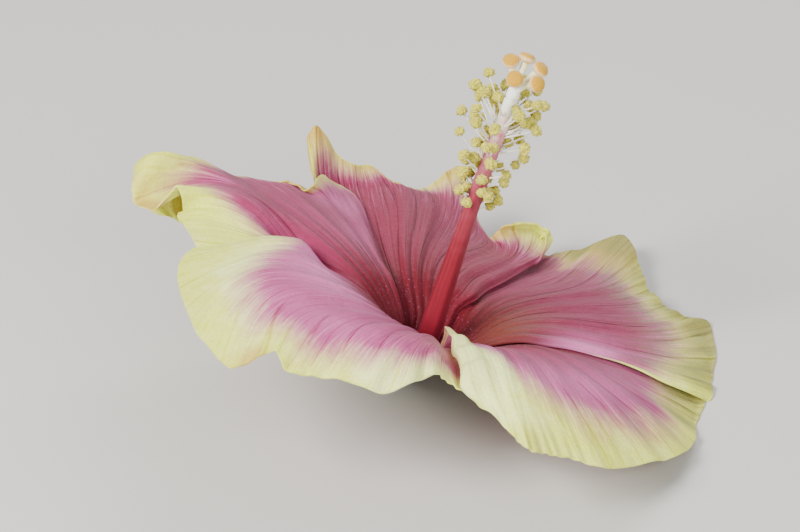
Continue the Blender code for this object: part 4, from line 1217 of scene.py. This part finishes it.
class BLOOM_OT_stamens(bpy.types.Operator):
    """Adds the stamens: a white filament and a pollen-covered anther for each"""
    bl_idname = "bloom.stamens"
    bl_label = "Stamens"

    def execute(self, context):
        sizes, colours = context.scene.bloom_sizes, context.scene.bloom_colours
        rng = np.random.default_rng(SEED + 1)
        model = anther_form("anther_model", sizes.anther_length)
        stalks, anthers = [], []
        for k, (root, bend, tip) in enumerate(stamen_places()):
            path = curve_through(root, bend, tip, FILAMENT_POINTS)
            radii = np.linspace(*FILAMENT_TAPER, FILAMENT_POINTS) * sizes.filament_thickness / MM
            radii[0] = radii[-1] = 0.0
            path[0], path[-1] = path[1] * 0.2 + path[0] * 0.8, path[-2] * 0.2 + path[-1] * 0.8
            stalks.append(closed_skin(f"filament_{k}", tube_grid(path, radii, 8)))
            copy = model.copy()
            copy.data = model.data.copy()
            context.scene.collection.objects.link(copy)
            away = Vector(world(tip) - world(bend)).normalized()
            turn = away.to_track_quat("Z", "Y").to_matrix().to_4x4()
            turn = turn @ Matrix.Rotation(rng.uniform(0, 2 * np.pi), 4, "Z")
            turn = turn @ Matrix.Rotation(rng.uniform(-0.5, 0.5), 4, "X")
            size = Matrix.Scale(rng.uniform(0.88, 1.12), 4)
            copy.data.transform(Matrix.Translation(Vector(world(tip))) @ turn @ size)
            anthers.append(copy)
        bpy.data.objects.remove(model, do_unlink=True)
        finish_piece(joined("filaments", stalks), ["staminal_column"], [filament_skin()])
        finish_piece(joined("anthers", anthers), ["staminal_column"], [pollen_dust(colours)])
        return {"FINISHED"}


def faces_out(towards, share):
    """The way a pad faces: its branch's own way, turned towards the bloom's open front by a share."""
    way = towards + share * np.array(OPEN_FRONT)
    return way / np.linalg.norm(way)


def pad_grid(middle, towards, rows=22, sides=36):
    """One stigma pad: a thick round cushion with a rough, turned-down rim. Along is 1 at its rim."""
    angle = np.linspace(0, 2 * np.pi, sides + 1)
    u = np.linspace(0, 1, rows)
    profile = spline(PAD_PLACES, PAD, u)
    side = np.cross(towards, [0.0, 0.0, 1.0])
    side /= np.linalg.norm(side)
    other = np.cross(towards, side)
    lumps = 1 + 0.02 * np.sin(3 * angle + middle[0]) + 0.015 * np.sin(7 * angle + 2 * middle[1])
    grid = (middle + profile[:, 1, None, None] * towards
            + profile[:, 0, None, None] * lumps[None, :, None]
            * (np.cos(angle)[None, :, None] * side + np.sin(angle)[None, :, None] * other))
    along = np.clip(1 - np.abs(u - 0.47) / 0.3, 0, 1)[:, None] + 0 * angle[None]
    return grid, along


class BLOOM_OT_pistil(bpy.types.Operator):
    """Adds the pistil: the style's white top, its five branches and their velvety pads"""
    bl_idname = "bloom.pistil"
    bl_label = "Pistil"

    def execute(self, context):
        colours = context.scene.bloom_colours
        rows = smooth_profile(STYLE_TOP, 30)
        rows[0, 1] = rows[-1, 1] = 0.0
        grid = column_grid(rows, 20)
        parts = [closed_skin("style_top", grid, {"along": 0 * grid[..., 0]})]
        pads = []
        for k, spot in enumerate(STIGMA_PADS):
            root, pad = column_middle(BRANCH_ROOT), np.array(spot)
            control = root + np.array([0.0, 0.0, 3.0]) + 0.25 * (pad - root) * [1, 1, 0]
            towards = (pad - control) / np.linalg.norm(pad - control)
            path = curve_through(root, control, pad - 0.45 * towards, BRANCH_POINTS)
            radii = BRANCH_RADIUS * (1.05 + 0.2 * np.cos(np.linspace(0, 2 * np.pi, BRANCH_POINTS)))
            radii[0] = radii[-1] = 0.0
            grid = tube_grid(path, radii, 14)
            along = np.linspace(0, 1, BRANCH_POINTS)[:, None] + 0 * grid[..., 0]
            parts.append(closed_skin(f"style_branch_{k}", grid, {"along": along}))
            grid, along = pad_grid(pad, faces_out(towards, PAD_FACES[k]))
            pads.append(closed_skin(f"stigma_pad_{k}", grid, {"along": along}))
        finish_piece(joined("style_branches", parts), ["pistil"], [branch_skin()])
        finish_piece(joined("stigma_pads", pads), ["pistil"], [stigma_velvet(colours)])
        return {"FINISHED"}


class BLOOM_OT_calyx(bpy.types.Operator):
    """Adds the calyx and the epicalyx below it, two lobed green cups"""
    bl_idname = "bloom.calyx"
    bl_label = "Calyx and epicalyx"

    def execute(self, context):
        sizes, colours = context.scene.bloom_sizes, context.scene.bloom_colours
        cups = [("calyx", CALYX, CALYX_LOBES, CALYX_NOTCH, 1.3, "93A85A"),
                ("epicalyx", EPICALYX, EPICALYX_LOBES, EPICALYX_NOTCH, 0.9, "7F9A48")]
        for name, profile, lobes, notch, sharpness, tint in cups:
            across = np.linspace(-1, 1, 17)[:-1]
            cup = lobed_cup(profile, lobes, notch, across, sharpness, 25)
            cup = np.concatenate([cup, cup[:, :1]], axis=1)
            item = skin(name + "_leaf", cup)
            join_seams(closed=False)
            apply_modifier(item, "SOLIDIFY", thickness=sizes.sepal_thickness, offset=0.0,
                           use_even_offset=True, use_rim=True)
            finish_piece(item, [name], [leafy_green(name + "_leaf", colours, tint)])
        return {"FINISHED"}


class BLOOM_OT_stem(bpy.types.Operator):
    """Adds the short stem, its cut end and the receptacle that carries the calyx"""
    bl_idname = "bloom.stem"
    bl_label = "Stem"

    def execute(self, context):
        colours = context.scene.bloom_colours
        item = closed_skin("stem_skin", stem_grid(28, 40))
        finish_piece(item, ["stem"], [leafy_green("stem_skin", colours, "8FA35B")])
        return {"FINISHED"}


class BLOOM_OT_stage(bpy.types.Operator):
    """Adds the pale floor, the soft lights and the camera"""
    bl_idname = "bloom.stage"
    bl_label = "Floor, lights and camera"

    def execute(self, context):
        deselect()
        bpy.ops.mesh.primitive_plane_add(size=FLOOR_SIZE)
        floor = context.object
        floor.name = "floor"
        card, node = new_material("floor_card")
        floor.data.materials.append(finish_material(card, node, {"Base Color": colour("C6C4C0"),
                                                                 "Roughness": 0.8}))
        for name, place, power, size, tint in LIGHTS:
            data = bpy.data.lights.new(name, "AREA")
            data.energy, data.size, data.color = power, size, tint
            light = bpy.data.objects.new(name, data)
            context.scene.collection.objects.link(light)
            light.location = place
            light.rotation_euler = (Vector(LIT_PLACE) - Vector(place)).to_track_quat("-Z", "Y").to_euler()
        sky = bpy.data.worlds.new("studio")
        sky.use_nodes = True
        background = sky.node_tree.nodes["Background"].inputs
        background["Color"].default_value = colour("EEF0F2")
        background["Strength"].default_value = SKY_STRENGTH
        context.scene.world = sky
        add_camera(context.scene)
        return {"FINISHED"}


def add_camera(scene):
    """The camera sees the throat where the photograph has it, from the same angle and distance."""
    data = bpy.data.cameras.new("camera")
    data.sensor_width = SENSOR_WIDTH
    data.lens = SENSOR_WIDTH * CAMERA_DISTANCE / (PICTURE_WIDTH * MM_PER_PIXEL)
    data.clip_start, data.clip_end = 0.01, 20.0
    camera = bpy.data.objects.new("camera", data)
    scene.collection.objects.link(camera)
    right, up, back = view_directions()
    aim = world(np.zeros(3)) - (THROAT_IN_VIEW[0] * right + THROAT_IN_VIEW[1] * up) * MM
    camera.location = aim + CAMERA_DISTANCE * MM * back
    camera.rotation_euler = Vector(-back).to_track_quat("-Z", "Y").to_euler()
    scene.camera = camera


class BLOOM_PT_panel(bpy.types.Panel):
    """Sizes, colours and pieces of the bloom"""
    bl_idname = "BLOOM_PT_panel"
    bl_label = "Hibiscus Bloom"
    bl_space_type = "VIEW_3D"
    bl_region_type = "UI"
    bl_category = "Bloom"

    def draw(self, context):
        for group in (context.scene.bloom_sizes, context.scene.bloom_colours):
            box = self.layout.box()
            for key in group.__annotations__:
                box.prop(group, key)
        for operator in OPERATORS:
            self.layout.operator(operator.bl_idname)


OPERATORS = [BLOOM_OT_petals, BLOOM_OT_column, BLOOM_OT_stamens, BLOOM_OT_pistil, BLOOM_OT_calyx,
             BLOOM_OT_stem, BLOOM_OT_stage]
CLASSES = [BloomSizes, BloomColours, *OPERATORS, BLOOM_PT_panel]


def register():
    for each in CLASSES:
        bpy.utils.register_class(each)
    bpy.types.Scene.bloom_sizes = bpy.props.PointerProperty(type=BloomSizes)
    bpy.types.Scene.bloom_colours = bpy.props.PointerProperty(type=BloomColours)


def unregister():
    del bpy.types.Scene.bloom_colours
    del bpy.types.Scene.bloom_sizes
    for each in reversed(CLASSES):
        bpy.utils.unregister_class(each)


def write_sizes():
    """Brings the scene's view layer up to date."""
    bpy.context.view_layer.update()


def main():
    register()
    bpy.ops.bloom.petals()
    bpy.ops.bloom.column()
    bpy.ops.bloom.stamens()
    bpy.ops.bloom.pistil()
    bpy.ops.bloom.calyx()
    bpy.ops.bloom.stem()
    bpy.ops.bloom.stage()
    write_sizes()


if __name__ == "__main__":
    main()
